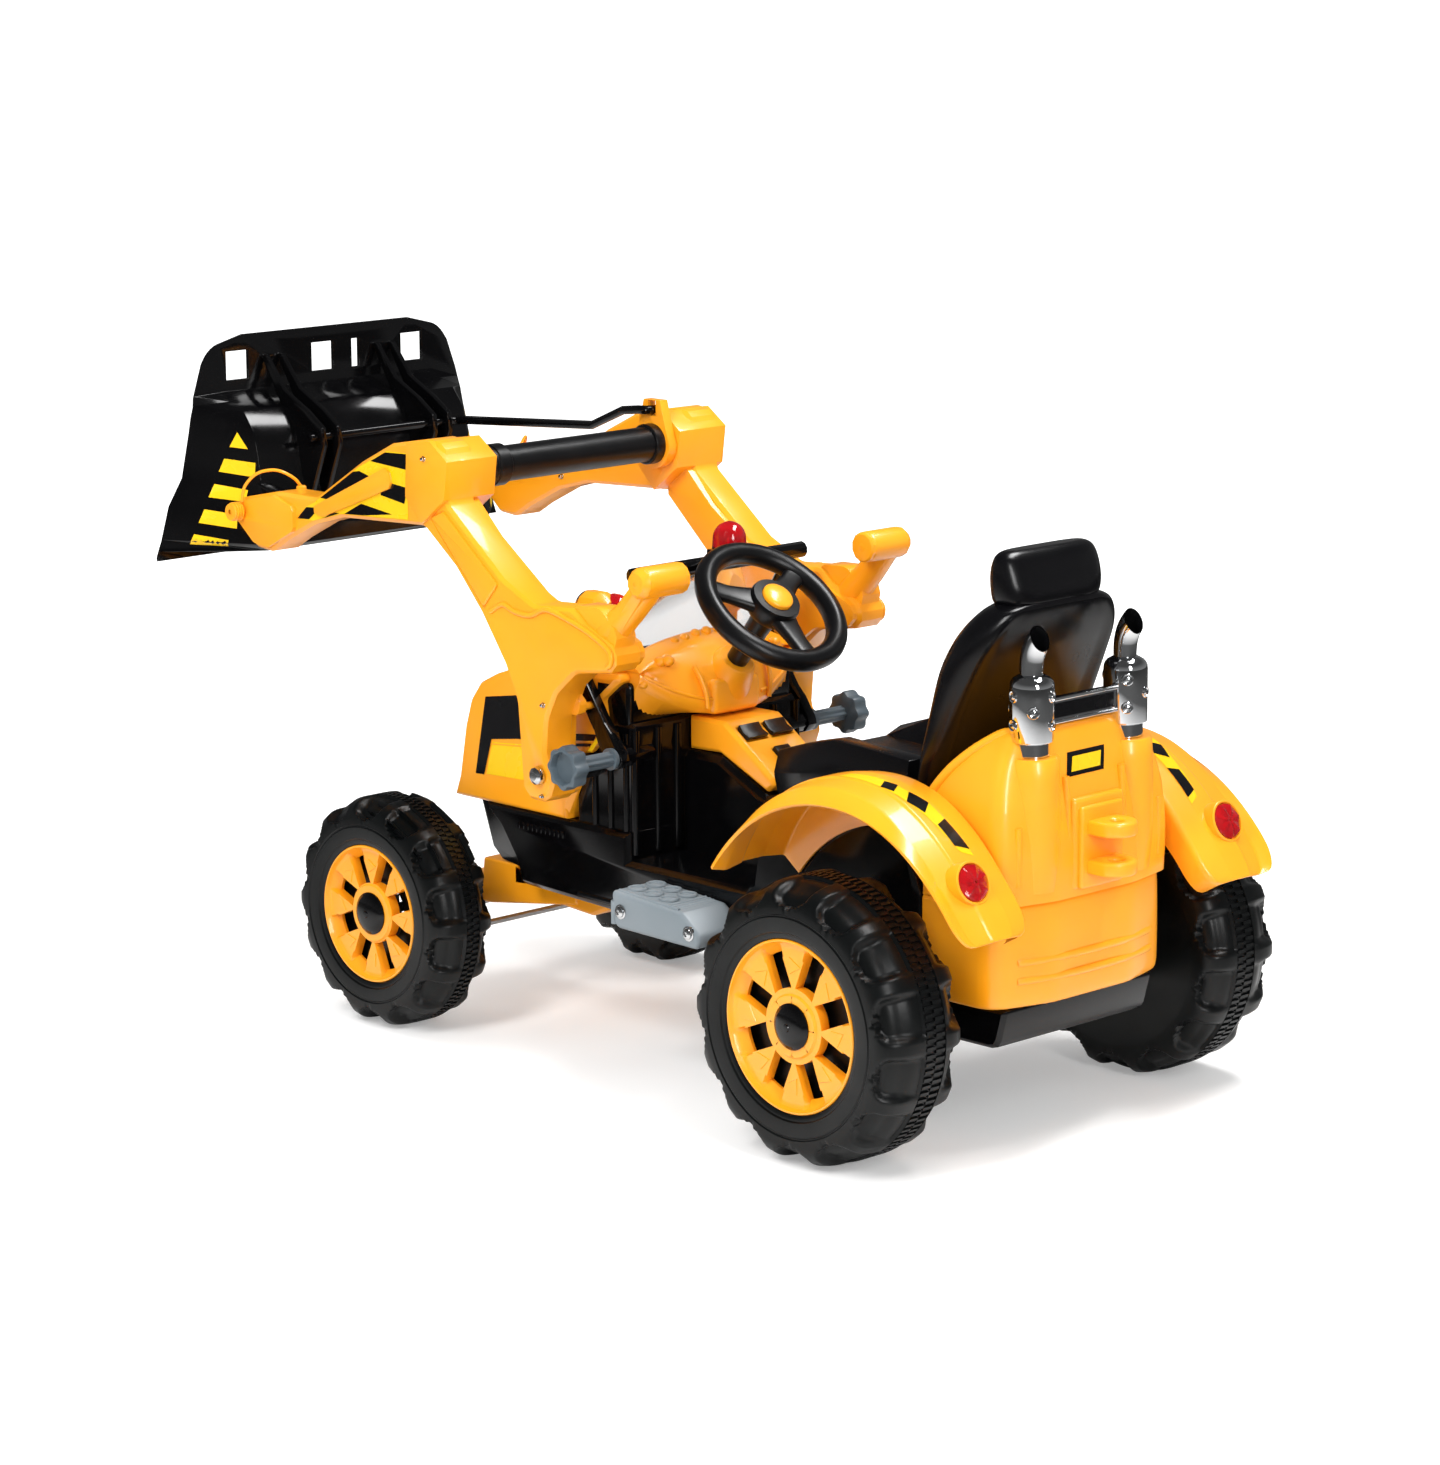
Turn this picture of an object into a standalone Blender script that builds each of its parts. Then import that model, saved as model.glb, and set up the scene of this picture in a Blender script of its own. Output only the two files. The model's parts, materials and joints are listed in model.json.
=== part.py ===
"""Child's electric ride-on wheel loader, in metres: +Z up, driver facing -Y, driver's left at +X."""

import math

import bmesh
import bpy
from mathutils import Matrix, Vector

# Clearances
GAP = 0.0003
RUN = 0.0012
SPIN_GAP = 0.0008

# Running gear
REAR_RADIUS = 0.1524
REAR_WIDTH = 0.116
REAR_FACE = 0.311
REAR_RIM = 0.0932
REAR_RIDGE = 0.047
FRONT_RADIUS = 0.1356
FRONT_WIDTH = 0.087
FRONT_FACE = 0.259
FRONT_RIM = 0.0813
FRONT_RIDGE = 0.036
LUGS = 14
LAND_ANGLE = 10.0
POCKET_DEPTH = 0.012
TYRE_BEAD = 0.006
REAR_AXLE_Y = 0.471
WHEELBASE = 0.745
AXLE_RADIUS = 0.006
SPOKES = 8
SPOKE_ANGLE = 19.0
RIM_HUB_RADIUS = 0.034
RIM_DEPTH = 0.024
CAP_RADIUS = 0.0285
CAP_HEIGHT = 0.009

# Tub and shells
BODY_HALF = 0.140
TUB_FLOOR = 0.230
TUB_UNDER = 0.168
TUB_DECK = 0.262
SEAT_DECK = 0.335
TUB_REAR = 0.495
TUNNEL_HALF = 0.050
PEDESTAL_HALF = 0.130
PEDESTAL_FRONT = -0.050
PEDESTAL_REAR = 0.046
PEDESTAL_TOP = 0.385
ARCH_GAP = 0.014
ARCH_INSIDE = 0.100
HOOD_FRONT = -0.252
BAY_HALF = 0.080
BAY_FRONT = 0.290
BAY_LENGTH = 0.115
BAY_FLOOR = 0.185
BUMPER_HALF = 0.1357
BUMPER_REAR = 0.618
BUMPER_LOW = 0.157
PANEL_LOW = 0.112
PANEL_FRONT = 0.430
PANEL_REAR = 0.600
PANEL_HALF = 0.118
COWL_BASE = 0.2685
STACK_X = 0.0735
STACK_Y = 0.594
STACK_BASE = 0.4218
STACK_RADIUS = 0.0215
STACK_TOP = 0.506
HITCH_PIN_Y = 0.645
HITCH_RADIUS = 0.025
HITCH_HOLE = 0.008
HITCH_PLATE = 0.009
HITCH_LOW = 0.300
HITCH_HIGH = 0.342
FENDER_INNER = BODY_HALF + 0.0005
FENDER_SKIN = 0.0045
LAMP_RADIUS = 0.019
LAMP_ANGLE = 46.0
LAMP_REACH = 0.2225
LAMP_X = 0.2008

# Cab
SEAT_HALF = 0.120
DASH_HALF = 0.120
SCREEN_HALF = 0.125
SCREEN_BAR = 0.0095
SCREEN_TOP_Y = 0.051
SCREEN_TOP_Z = 0.554
SCREEN_BASE_Y = -0.012
SCREEN_BASE_Z = 0.452
BEACON_X = -0.035
BEACON_Y = 0.033
BEACON_RADIUS = 0.020
BEACON_HEIGHT = 0.033
LAMP_POD_X = 0.095
LAMP_POD_RADIUS = 0.022
WHEEL_TILT = 50.2
WHEEL_RING = 0.0819
WHEEL_TUBE = 0.011
COLUMN_RADIUS = 0.012
COLUMN_BASE = Vector((0.0, 0.077, 0.443))
COLUMN_LENGTH = 0.104
HUB_RADIUS = 0.026
HUB_HEIGHT = 0.018

# Loader
BOOM_PIVOT = Vector((0.0, -0.018, 0.331))
ELBOW = Vector((0.0, -0.1956, 0.6537))
TIP = Vector((0.0, -0.539, 0.576))
BOOM_INNER = BODY_HALF + 0.023
BOOM_OUTER = BOOM_INNER + 0.050
TIP_INNER = BOOM_INNER + 0.007
TIP_OUTER = BOOM_OUTER + 0.006
PIVOT_BOLT = 0.0065
GRIP = Vector((0.0, 0.139, 0.5645))
GRIP_RADIUS = 0.0175
GRIP_ARM = 0.0145
GRIP_INNER = BOOM_INNER - 0.0216
GRIP_OUTER = BOOM_OUTER - 0.0035
CROSS_RADIUS = 0.0185
COLLAR_RADIUS = 0.0235
ELBOW_INNER = BOOM_INNER - 0.020
KNOB_Y = 0.0397
KNOB_Z = 0.3496
STAY_INNER = BODY_HALF + 0.0015
STAY_OUTER = BODY_HALF + 0.014
STAY_HALF = 0.010
STAY_PIN = 0.0045
STAY_PLAY = 0.0015
STAY_PIN_Y = 0.001
STAY_PIN_Z = 0.405
STAY_REACH = 0.122
KNOB_STEM = 0.004
KNOB_RADIUS = 0.024
KNOB_LOBES = 6

# Bucket
MOUTH_Y = -0.640
BUCKET_BACK = -0.534
BUCKET_HALF = 0.165
BUCKET_WALL = 0.005
TUBE_Y = -0.540
TUBE_Z = 0.652
ROD_RADIUS = 0.0055
ROD_X = 0.120
EAR_INNER = 0.150
PIN_RADIUS = 0.0065
ROCKER_LEVER = 0.040
ROCKER_INNER = 0.1285

# Steering
STEER_ARM = 0.050
KINGPIN_X = 0.152
KINGPIN_RADIUS = 0.005
BEAM_HALF_HEIGHT = 0.015
STEER_SWING = 25.0

FRAME_CENTRE = 0.0135

LAND_COSINE = math.cos(math.radians(LAND_ANGLE / 2))
REAR_AXLE = Vector((0.0, REAR_AXLE_Y, REAR_RADIUS * LAND_COSINE))
FRONT_AXLE = Vector((0.0, REAR_AXLE_Y - WHEELBASE, FRONT_RADIUS * LAND_COSINE))
WHEEL_AXIS = Vector((0.0, math.cos(math.radians(WHEEL_TILT)), math.sin(math.radians(WHEEL_TILT))))

YELLOW = ("F7A823", 0.32, 0.0)
BLACK = ("0C0C0D", 0.28, 0.0)
SATIN_BLACK = ("161616", 0.55, 0.0)
GREY = ("8F9396", 0.45, 0.0)
KNOB_GREY = ("5A6068", 0.5, 0.0)
CHROME = ("D9DBDE", 0.12, 1.0)
STEEL = ("9A9C9F", 0.35, 1.0)
RED = ("B4121B", 0.15, 0.0)
PALE = ("D6DADC", 0.1, 0.0)

X_AXIS = Vector((1.0, 0.0, 0.0))
Y_AXIS = Vector((0.0, 1.0, 0.0))
Z_AXIS = Vector((0.0, 0.0, 1.0))
LEFT = 1
RIGHT = -1


# Scene helpers

def clear_scene():
    for obj in list(bpy.data.objects):
        bpy.data.objects.remove(obj, do_unlink=True)


def make_vehicle():
    """The empty that carries every piece, set so that the whole machine is centred."""
    empty = bpy.data.objects.new("vehicle", None)
    empty.location = (0.0, -FRAME_CENTRE, 0.0)
    bpy.context.scene.collection.objects.link(empty)
    return empty


def linear(channel):
    return channel / 12.92 if channel <= 0.04045 else ((channel + 0.055) / 1.055) ** 2.4


def material(finish):
    hexcode, roughness, metallic = finish
    name = f"finish_{hexcode}"
    found = bpy.data.materials.get(name)
    if found:
        return found
    made = bpy.data.materials.new(name)
    made.use_nodes = True
    shader = made.node_tree.nodes["Principled BSDF"]
    colour = [linear(int(hexcode[i:i + 2], 16) / 255) for i in (0, 2, 4)]
    shader.inputs["Base Color"].default_value = (*colour, 1.0)
    shader.inputs["Roughness"].default_value = roughness
    shader.inputs["Metallic"].default_value = metallic
    return made


def face_outward(bm):
    """Turn every face of a closed shape outward; an open sheet keeps its own side."""
    if any(edge.is_boundary for edge in bm.edges):
        return
    bmesh.ops.recalc_face_normals(bm, faces=bm.faces)
    if bm.calc_volume(signed=True) < 0:
        bmesh.ops.reverse_faces(bm, faces=bm.faces)


def link(name, bm, pivot):
    face_outward(bm)
    bmesh.ops.translate(bm, verts=bm.verts, vec=-pivot)
    mesh = bpy.data.meshes.new(name)
    bm.to_mesh(mesh)
    bm.free()
    obj = bpy.data.objects.new(name, mesh)
    obj.location = pivot
    obj.parent = vehicle
    bpy.context.scene.collection.objects.link(obj)
    return obj


def solid(name, bm, finish, pivot=(0.0, 0.0, 0.0)):
    """One node, with its origin at the pivot."""
    obj = link(name, bm, Vector(pivot))
    obj.data.materials.append(material(finish))
    obj.data.shade_smooth()
    obj.data.set_sharp_from_angle(angle=math.radians(35))
    return obj


def boolean(obj, bm, operation, solver="EXACT"):
    """Join or cut with a guide shape that stays out of the render."""
    guide = link(f"{obj.name}_guide", bm, Vector((0.0, 0.0, 0.0)))
    guide.hide_render = True
    guide.display_type = "WIRE"
    modifier = obj.modifiers.new(operation.lower(), "BOOLEAN")
    modifier.operation = operation
    modifier.solver = solver
    modifier.object = guide


def join(obj, *shapes):
    for bm in shapes:
        boolean(obj, bm, "UNION")


def cut(obj, *shapes):
    for bm in shapes:
        boolean(obj, bm, "DIFFERENCE")


# Shape helpers

def mirrored(bm, side):
    """The shape itself for the left, its mirror image for the right."""
    if side == RIGHT:
        bmesh.ops.transform(bm, matrix=Matrix.Scale(-1, 4, X_AXIS), verts=bm.verts)
        bmesh.ops.reverse_faces(bm, faces=bm.faces)
    return bm


def rounded(corners, steps=3):
    """An outline whose corners (a, b, radius) are turned into arcs."""
    outline = []
    count = len(corners)
    for i, (a, b, radius) in enumerate(corners):
        here = Vector((a, b))
        back = Vector(corners[i - 1][:2]) - here
        ahead = Vector(corners[(i + 1) % count][:2]) - here
        if radius <= 0:
            outline.append(here)
            continue
        half_turn = back.angle(ahead) / 2
        reach = min(radius / math.tan(half_turn), 0.45 * back.length, 0.45 * ahead.length)
        start = here + back.normalized() * reach
        end = here + ahead.normalized() * reach
        for step in range(steps + 1):
            t = step / steps
            outline.append((1 - t) ** 2 * start + 2 * t * (1 - t) * here + t ** 2 * end)
    return [tuple(point) for point in outline]


def placed(axis, along, a, b):
    if axis == "x":
        return Vector((along, a, b))
    if axis == "y":
        return Vector((a, along, b))
    return Vector((a, b, along))


def loft(rings, capped=True):
    """Skin through rings of equal length; the end rings are filled."""
    bm = bmesh.new()
    rows = [[bm.verts.new(point) for point in ring] for ring in rings]
    count = len(rows[0])
    pairs = list(zip(rows, rows[1:]))
    if not capped:
        pairs.append((rows[-1], rows[0]))
    for low, high in pairs:
        for i in range(count):
            j = (i + 1) % count
            bm.faces.new((low[i], low[j], high[j], high[i]))
    if capped:
        bm.faces.new(rows[0])
        bm.faces.new(list(reversed(rows[-1])))
    bmesh.ops.recalc_face_normals(bm, faces=bm.faces)
    return bm


def prism(outline, low, high, axis="x", edge=0.0):
    """An outline pushed along an axis, with its rims bevelled by edge."""
    bm = loft([[placed(axis, along, a, b) for a, b in outline] for along in (low, high)])
    if edge > 0:
        rims = [e for f in bm.faces if len(f.verts) == len(outline) for e in f.edges]
        if len(outline) == 4:
            rims = list(bm.edges)
        bmesh.ops.bevel(bm, geom=list(set(rims)), offset=edge, segments=1, profile=0.5,
                        affect="EDGES", clamp_overlap=True)
    return bm


def block(low, high, edge=0.0):
    outline = [(low[0], low[1]), (high[0], low[1]), (high[0], high[1]), (low[0], high[1])]
    return prism(outline, low[2], high[2], "z", edge)


def side_frame(direction):
    direction = Vector(direction).normalized()
    helper = Z_AXIS if abs(direction.z) < 0.9 else X_AXIS
    across = direction.cross(helper).normalized()
    return direction, across, direction.cross(across)


def turned(profile, origin, direction, sides, closed=False):
    """A profile of (height, radius) turned about an axis; closed makes a ring."""
    direction, across, up = side_frame(direction)
    rings = []
    for i in range(sides):
        angle = 2 * math.pi * (i + 0.5) / sides
        out = across * math.cos(angle) + up * math.sin(angle)
        rings.append([Vector(origin) + direction * h + out * r for h, r in profile])
    if closed:
        return loft(rings, capped=False)
    bm = bmesh.new()
    rows = [[bm.verts.new(point) for point in ring] for ring in rings]
    for row, following in zip(rows, rows[1:] + rows[:1]):
        for j in range(len(profile) - 1):
            bm.faces.new((row[j], row[j + 1], following[j + 1], following[j]))
    bm.faces.new([row[0] for row in rows])
    bm.faces.new([row[-1] for row in reversed(rows)])
    bmesh.ops.recalc_face_normals(bm, faces=bm.faces)
    return bm


def rod(start, end, radius, sides=12):
    length = (Vector(end) - Vector(start)).length
    return turned([(0, radius), (length, radius)], start, Vector(end) - Vector(start), sides)


def swept(points, radius, sides=10):
    """A round bar through a few points, mitred at its bends."""
    points = [Vector(p) for p in points]
    rings = []
    for i, point in enumerate(points):
        before = points[max(i - 1, 0)]
        after = points[min(i + 1, len(points) - 1)]
        direction, across, up = side_frame(after - before)
        ring = []
        for k in range(sides):
            angle = 2 * math.pi * k / sides
            ring.append(point + radius * (across * math.cos(angle) + up * math.sin(angle)))
        rings.append(ring)
    return loft(rings)


def circle(centre, radius, steps, start=0.0, end=360.0):
    """Points of an arc; a full circle leaves out its last point."""
    count = steps if end - start >= 360 else steps + 1
    return [(centre[0] + radius * math.cos(math.radians(start + (end - start) * i / steps)),
             centre[1] + radius * math.sin(math.radians(start + (end - start) * i / steps)))
            for i in range(count)]


# Wheels

def tyre_section(size, pocket):
    """Points (x, radius) of the tread at a land (pocket 0) or a scoop (pocket 1)."""
    radius, face, width, rim, ridge = size
    inner = face - width
    crown = face - ridge
    band = inner + ridge * 0.72
    ring = rim + 0.45 * (radius - rim)
    drop = POCKET_DEPTH * pocket
    return [
        (face - TYRE_BEAD, rim),
        (face, ring),
        (face - 0.010 - 0.005 * pocket, radius - 1.35 * drop),
        (crown + 0.010 - 0.005 * pocket, radius - 0.7 * drop),
        (crown, radius),
        (band, radius),
        (inner + 0.010 + 0.005 * pocket, radius - 1.35 * drop),
        (inner, ring),
        (inner + TYRE_BEAD, rim),
    ]


def tyre(name, axle, size, side):
    pitch = 360 / LUGS
    half_land = LAND_ANGLE / 2
    rings = []
    for lug in range(LUGS):
        for offset, pocket in ((-half_land, 0), (half_land, 0), (pitch / 2, 1)):
            angle = math.radians(-90 + lug * pitch + offset)
            rings.append([axle + Vector((x, r * math.cos(angle), r * math.sin(angle)))
                          for x, r in tyre_section(size, pocket)])
    centre = Vector((side * (size[1] - size[2] / 2), axle.y, axle.z))
    return solid(name, mirrored(loft(rings, capped=False), side), SATIN_BLACK, centre)


def rim(name, axle, size, side):
    """Rim with flange, spokes and open windows between them, and a bored hub."""
    radius, face, width, rim_radius, ridge = size
    outer = rim_radius - 2 * GAP
    flange = face - 0.004
    disc = face - 0.012
    hub = face - 0.010
    back = disc - RIM_DEPTH
    inside = face - width + 0.002
    window_out = rim_radius * 0.86
    window_in = RIM_HUB_RADIUS + 0.006
    bore = AXLE_RADIUS + SPIN_GAP
    section = [(flange, outer), (flange, outer - 0.005), (disc, window_out), (disc, window_in),
               (hub, RIM_HUB_RADIUS), (hub, bore), (inside, bore),
               (back, window_in), (back, window_out), (back, outer)]
    pitch = 360 / SPOKES
    half = SPOKE_ANGLE / 2
    offsets = (-half, half, pitch / 2)
    bm = bmesh.new()
    rows = []
    for spoke in range(SPOKES):
        for offset in offsets:
            angle = math.radians(spoke * pitch + offset)
            rows.append([bm.verts.new(axle + Vector((x, r * math.cos(angle), r * math.sin(angle))))
                         for x, r in section])
    count = len(section)
    front_panel = 2
    back_panel = 7
    stations = len(rows)
    for i, row in enumerate(rows):
        following = rows[(i + 1) % stations]
        in_window = i % 3 != 0
        for j in range(count):
            k = (j + 1) % count
            if in_window and j in (front_panel, back_panel):
                continue
            bm.faces.new((row[j], row[k], following[k], following[j]))
        if in_window:
            bm.faces.new((row[2], following[2], following[8], row[8]))
            bm.faces.new((row[3], row[7], following[7], following[3]))
        if i % 3 == 1:
            bm.faces.new((row[2], row[8], row[7], row[3]))
            last = rows[(i + 2) % stations]
            bm.faces.new((last[2], last[3], last[7], last[8]))
    bmesh.ops.recalc_face_normals(bm, faces=bm.faces)
    centre = Vector((side * (face - width / 2), axle.y, axle.z))
    return solid(name, mirrored(bm, side), YELLOW, centre)


def hub_cap(name, axle, size, side):
    face = size[1]
    base = face - 0.010 + GAP
    profile = [(base, CAP_RADIUS), (base + CAP_HEIGHT * 0.5, CAP_RADIUS),
               (base + CAP_HEIGHT, CAP_RADIUS * 0.62)]
    return solid(name, mirrored(turned(profile, axle, X_AXIS, 12), side), BLACK,
                 Vector((side * base, axle.y, axle.z)))


def wheels():
    rear = (REAR_RADIUS, REAR_FACE, REAR_WIDTH, REAR_RIM, REAR_RIDGE)
    front = (FRONT_RADIUS, FRONT_FACE, FRONT_WIDTH, FRONT_RIM, FRONT_RIDGE)
    for end, axle, size in (("rear", REAR_AXLE, rear), ("front", FRONT_AXLE, front)):
        for hand, side in (("left", LEFT), ("right", RIGHT)):
            tyre(f"tyre_{end}_{hand}", axle, size, side)
            rim(f"rim_{end}_{hand}", axle, size, side)
            hub_cap(f"hub_cap_{end}_{hand}", axle, size, side)


def rear_axle():
    reach = REAR_FACE - 0.011
    bar = rod(REAR_AXLE - X_AXIS * reach, REAR_AXLE + X_AXIS * reach, AXLE_RADIUS, 10)
    solid("rear_axle", bar, STEEL)


def gearmotor():
    """Gear case and motor can that drive the right rear wheel."""
    inner = BODY_HALF + GAP
    outer = REAR_FACE - REAR_WIDTH - 0.008
    centre = (REAR_AXLE.y, REAR_AXLE.z)
    motor = (REAR_AXLE.y - 0.070, REAR_AXLE.z + 0.038)
    outline = circle(centre, 0.042, 8, -130, 50) + circle(motor, 0.026, 5, 75, 215)
    case = solid("gearmotor", mirrored(prism(outline, inner, outer, "x", 0.004), RIGHT), BLACK)
    bore = AXLE_RADIUS + SPIN_GAP
    cut(case, rod(REAR_AXLE - X_AXIS * REAR_FACE, REAR_AXLE, bore, 10))


# Body

def chassis_shell():
    tub_outline = rounded([
        (HOOD_FRONT, TUB_DECK, 0.006), (-0.225, 0.187, 0.02), (-0.138, 0.174, 0.01),
        (0.02, TUB_UNDER, 0.01), (TUB_REAR, TUB_UNDER, 0.004), (TUB_REAR, TUB_DECK + 0.004, 0),
        (TUB_REAR - 0.02, SEAT_DECK, 0.006), (0.262, SEAT_DECK, 0.012), (0.243, TUB_FLOOR, 0.012),
        (PEDESTAL_REAR, TUB_FLOOR, 0), (PEDESTAL_REAR, TUB_DECK, 0)], 1)
    shell = solid("chassis_shell", prism(tub_outline, -BODY_HALF, BODY_HALF, "x", 0.006), BLACK)
    pedestal = rounded([(PEDESTAL_FRONT, TUB_DECK - 0.02, 0), (PEDESTAL_REAR - 0.001, TUB_DECK - 0.02, 0),
                        (PEDESTAL_REAR, PEDESTAL_TOP, 0.004), (PEDESTAL_FRONT, PEDESTAL_TOP, 0)], 1)
    join(shell, prism(pedestal, -PEDESTAL_HALF, PEDESTAL_HALF, "x", 0.005))
    tunnel = rounded([(PEDESTAL_REAR - 0.02, TUB_FLOOR - 0.02, 0), (0.28, TUB_FLOOR - 0.02, 0),
                      (0.28, SEAT_DECK - 0.006, 0), (0.235, 0.318, 0.02), (0.17, 0.310, 0.02),
                      (0.100, 0.345, 0.01), (PEDESTAL_REAR - 0.02, 0.345, 0)], 1)
    join(shell, prism(tunnel, -TUNNEL_HALF, TUNNEL_HALF, "x", 0.008))
    for side in (LEFT, RIGHT):
        for centre, radius, reach in ((BOOM_PIVOT, 0.014, BOOM_INNER - RUN),
                                      (Vector((0, KNOB_Y, KNOB_Z)), 0.012, STAY_INNER - RUN)):
            start = centre + X_AXIS * (PEDESTAL_HALF - 0.03)
            boss = rod(start, centre + X_AXIS * reach, radius, 10)
            join(shell, mirrored(boss, side))
    bay = block((-BAY_HALF, BAY_FRONT, BAY_FLOOR), (BAY_HALF, BAY_FRONT + BAY_LENGTH, SEAT_DECK + 0.02))
    cut(shell, bay)
    for side in (LEFT, RIGHT):
        start = FRONT_AXLE + X_AXIS * ARCH_INSIDE
        end = FRONT_AXLE + X_AXIS * (BODY_HALF + 0.02)
        cut(shell, mirrored(rod(start, end, FRONT_RADIUS + ARCH_GAP, 20), side))
        bolt = BOOM_PIVOT + X_AXIS * (PEDESTAL_HALF - 0.02)
        cut(shell, mirrored(rod(bolt, bolt + X_AXIS * 0.1, PIVOT_BOLT + GAP, 10), side))
        stem = Vector((PEDESTAL_HALF - 0.012, KNOB_Y, KNOB_Z))
        cut(shell, mirrored(rod(stem, stem + X_AXIS * 0.1, KNOB_STEM + SPIN_GAP, 8), side))


def rear_under_panel():
    outline = rounded([(PANEL_FRONT, TUB_UNDER - GAP, 0.006), (PANEL_FRONT + 0.012, PANEL_LOW, 0.014),
                       (PANEL_REAR - 0.012, PANEL_LOW, 0.014), (PANEL_REAR, BUMPER_LOW - GAP, 0.004),
                       (TUB_REAR, BUMPER_LOW - GAP, 0), (TUB_REAR, TUB_UNDER - GAP, 0)], 2)
    panel = solid("rear_under_panel", prism(outline, -PANEL_HALF, PANEL_HALF, "x", 0.006), BLACK)
    reach = X_AXIS * (PANEL_HALF + 0.01)
    cut(panel, rod(REAR_AXLE - reach, REAR_AXLE + reach, AXLE_RADIUS + GAP, 10))


def battery():
    margin = 0.002
    low = (-BAY_HALF + margin, BAY_FRONT + margin, BAY_FLOOR + GAP)
    high = (BAY_HALF - margin, BAY_FRONT + BAY_LENGTH - margin, SEAT_DECK - 0.045)
    case = solid("battery", block(low, high), SATIN_BLACK)
    for x in (-0.05, 0.05):
        terminal = rod((x, BAY_FRONT + 0.03, high[2] - 0.002), (x, BAY_FRONT + 0.03, high[2] + 0.008), 0.006, 6)
        join(case, terminal)


def hood():
    front = [(HOOD_FRONT, TUB_DECK + GAP, 0.006), (-0.060, TUB_DECK + GAP, 0),
             (-0.018, 0.342, 0.004), (0.009, 0.372, 0.004), (0.003, 0.409, 0.004),
             (0.034, 0.434, 0.003), (0.030, 0.441, 0.003), (-0.151, 0.424, 0.02),
             (-0.200, 0.399, 0.015), (-0.234, 0.300, 0.01)]
    shell = solid("hood", prism(rounded(front, 1), -BODY_HALF, BODY_HALF, "x", 0.008), YELLOW)
    room = PEDESTAL_HALF + 2 * GAP
    cut(shell, block((-room, PEDESTAL_FRONT - GAP, TUB_DECK - 0.02), (room, 0.08, PEDESTAL_TOP + GAP)))
    dash_room = DASH_HALF + 2 * GAP
    cut(shell, block((-dash_room, PEDESTAL_FRONT + 0.012, PEDESTAL_TOP - 0.02), (dash_room, 0.08, 0.5)))
    for side in (LEFT, RIGHT):
        start = BOOM_PIVOT + X_AXIS * (PEDESTAL_HALF - 0.01)
        cut(shell, mirrored(rod(start, start + X_AXIS * 0.05, 0.014 + GAP * 3, 12), side))
    nose_grooves(shell)
    headlight_pods(shell)


def nose_grooves(shell):
    """Shallow louvres across the sloping nose."""
    low = Vector((0, -0.235, 0.300))
    high = Vector((0, -0.203, 0.390))
    for i in range(3):
        spot = low.lerp(high, (i + 0.5) / 3)
        cut(shell, block((-0.080, spot.y - 0.006, spot.z - 0.004), (0.080, spot.y + 0.004, spot.z + 0.004)))


def headlight_pods(shell):
    """Two round lamp pods on short stems, moulded with the hood."""
    for side in (LEFT, RIGHT):
        centre = Vector((LAMP_POD_X, -0.045, 0.500))
        profile = [(-0.016, LAMP_POD_RADIUS), (0.008, LAMP_POD_RADIUS), (0.020, 0.012)]
        stem = block((LAMP_POD_X - 0.010, -0.053, 0.425), (LAMP_POD_X + 0.010, -0.037, 0.487))
        join(shell, mirrored(stem, side))
        join(shell, mirrored(turned(profile, centre, Y_AXIS, 12), side))
        face = Vector((LAMP_POD_X, -0.070, 0.500))
        cut(shell, mirrored(rod(face, face + Y_AXIS * 0.014, 0.0165, 12), side))


def front_skid():
    outline = rounded([(-0.199, 0.1822, 0), (-0.195, 0.150, 0.012), (-0.062, 0.141, 0.012),
                       (-0.036, 0.152, 0.006), (-0.036, 0.1695, 0), (-0.138, 0.1735, 0)], 2)
    solid("front_skid", prism(outline, -0.098, 0.098, "x", 0.004), YELLOW)


def front_axle_beam():
    """Steel beam between the kingpins, with a saddle that bolts under the tub."""
    y, z = FRONT_AXLE.y, FRONT_AXLE.z
    half = BEAM_HALF_HEIGHT
    reach = KINGPIN_X - 0.006
    beam = solid("front_axle_beam", block((-reach, y - 0.011, z - half), (reach, y + 0.011, z + half)), STEEL)
    saddle = [(y - 0.009, z + 0.002), (y + 0.010, z + 0.002), (-0.209, 0.162), (-0.2065, 0.1834),
              (-0.2265, 0.1862), (-0.2404, 0.228), (-0.262, 0.228), (y - 0.009, 0.165)]
    join(beam, prism(saddle, -0.045, 0.045, "x"))
    for side in (LEFT, RIGHT):
        eye = Vector((side * KINGPIN_X, y, z - half))
        join(beam, rod(eye, eye + Z_AXIS * 2 * half, 0.0095, 10))
    for side in (LEFT, RIGHT):
        bore = Vector((side * KINGPIN_X, y, z - half - 0.01))
        cut(beam, rod(bore, bore + Z_AXIS * (2 * half + 0.02), KINGPIN_RADIUS + SPIN_GAP, 10))


def console():
    outline = rounded([(0.0475, 0.346, 0), (0.0965, 0.3475, 0), (0.172, 0.3135, 0.004), (0.184, 0.322, 0.004),
                       (0.181, 0.332, 0.005), (0.105, 0.3845, 0.006), (0.0475, 0.3845, 0)], 2)
    solid("console", prism(outline, -0.045, 0.045, "x", 0.004), YELLOW)
    shell = bpy.data.objects["console"]
    for low, high, depth in CONSOLE_SLOTS:
        cut(shell, console_box(low, high, depth, 0.01, 0.0))


def console_frame():
    """Origin and directions of the console's sloping top."""
    high = Vector((0.0, 0.105, 0.386))
    low = Vector((0.0, 0.181, 0.332))
    along = (low - high).normalized()
    return high, along, X_AXIS.cross(along).normalized() * -1


CONSOLE_SLOTS = [((-0.036, 0.012), (-0.003, 0.036), 0.009),
                 ((0.003, 0.012), (0.036, 0.036), 0.009),
                 ((-0.012, 0.052), (0.012, 0.072), 0.009)]


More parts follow.
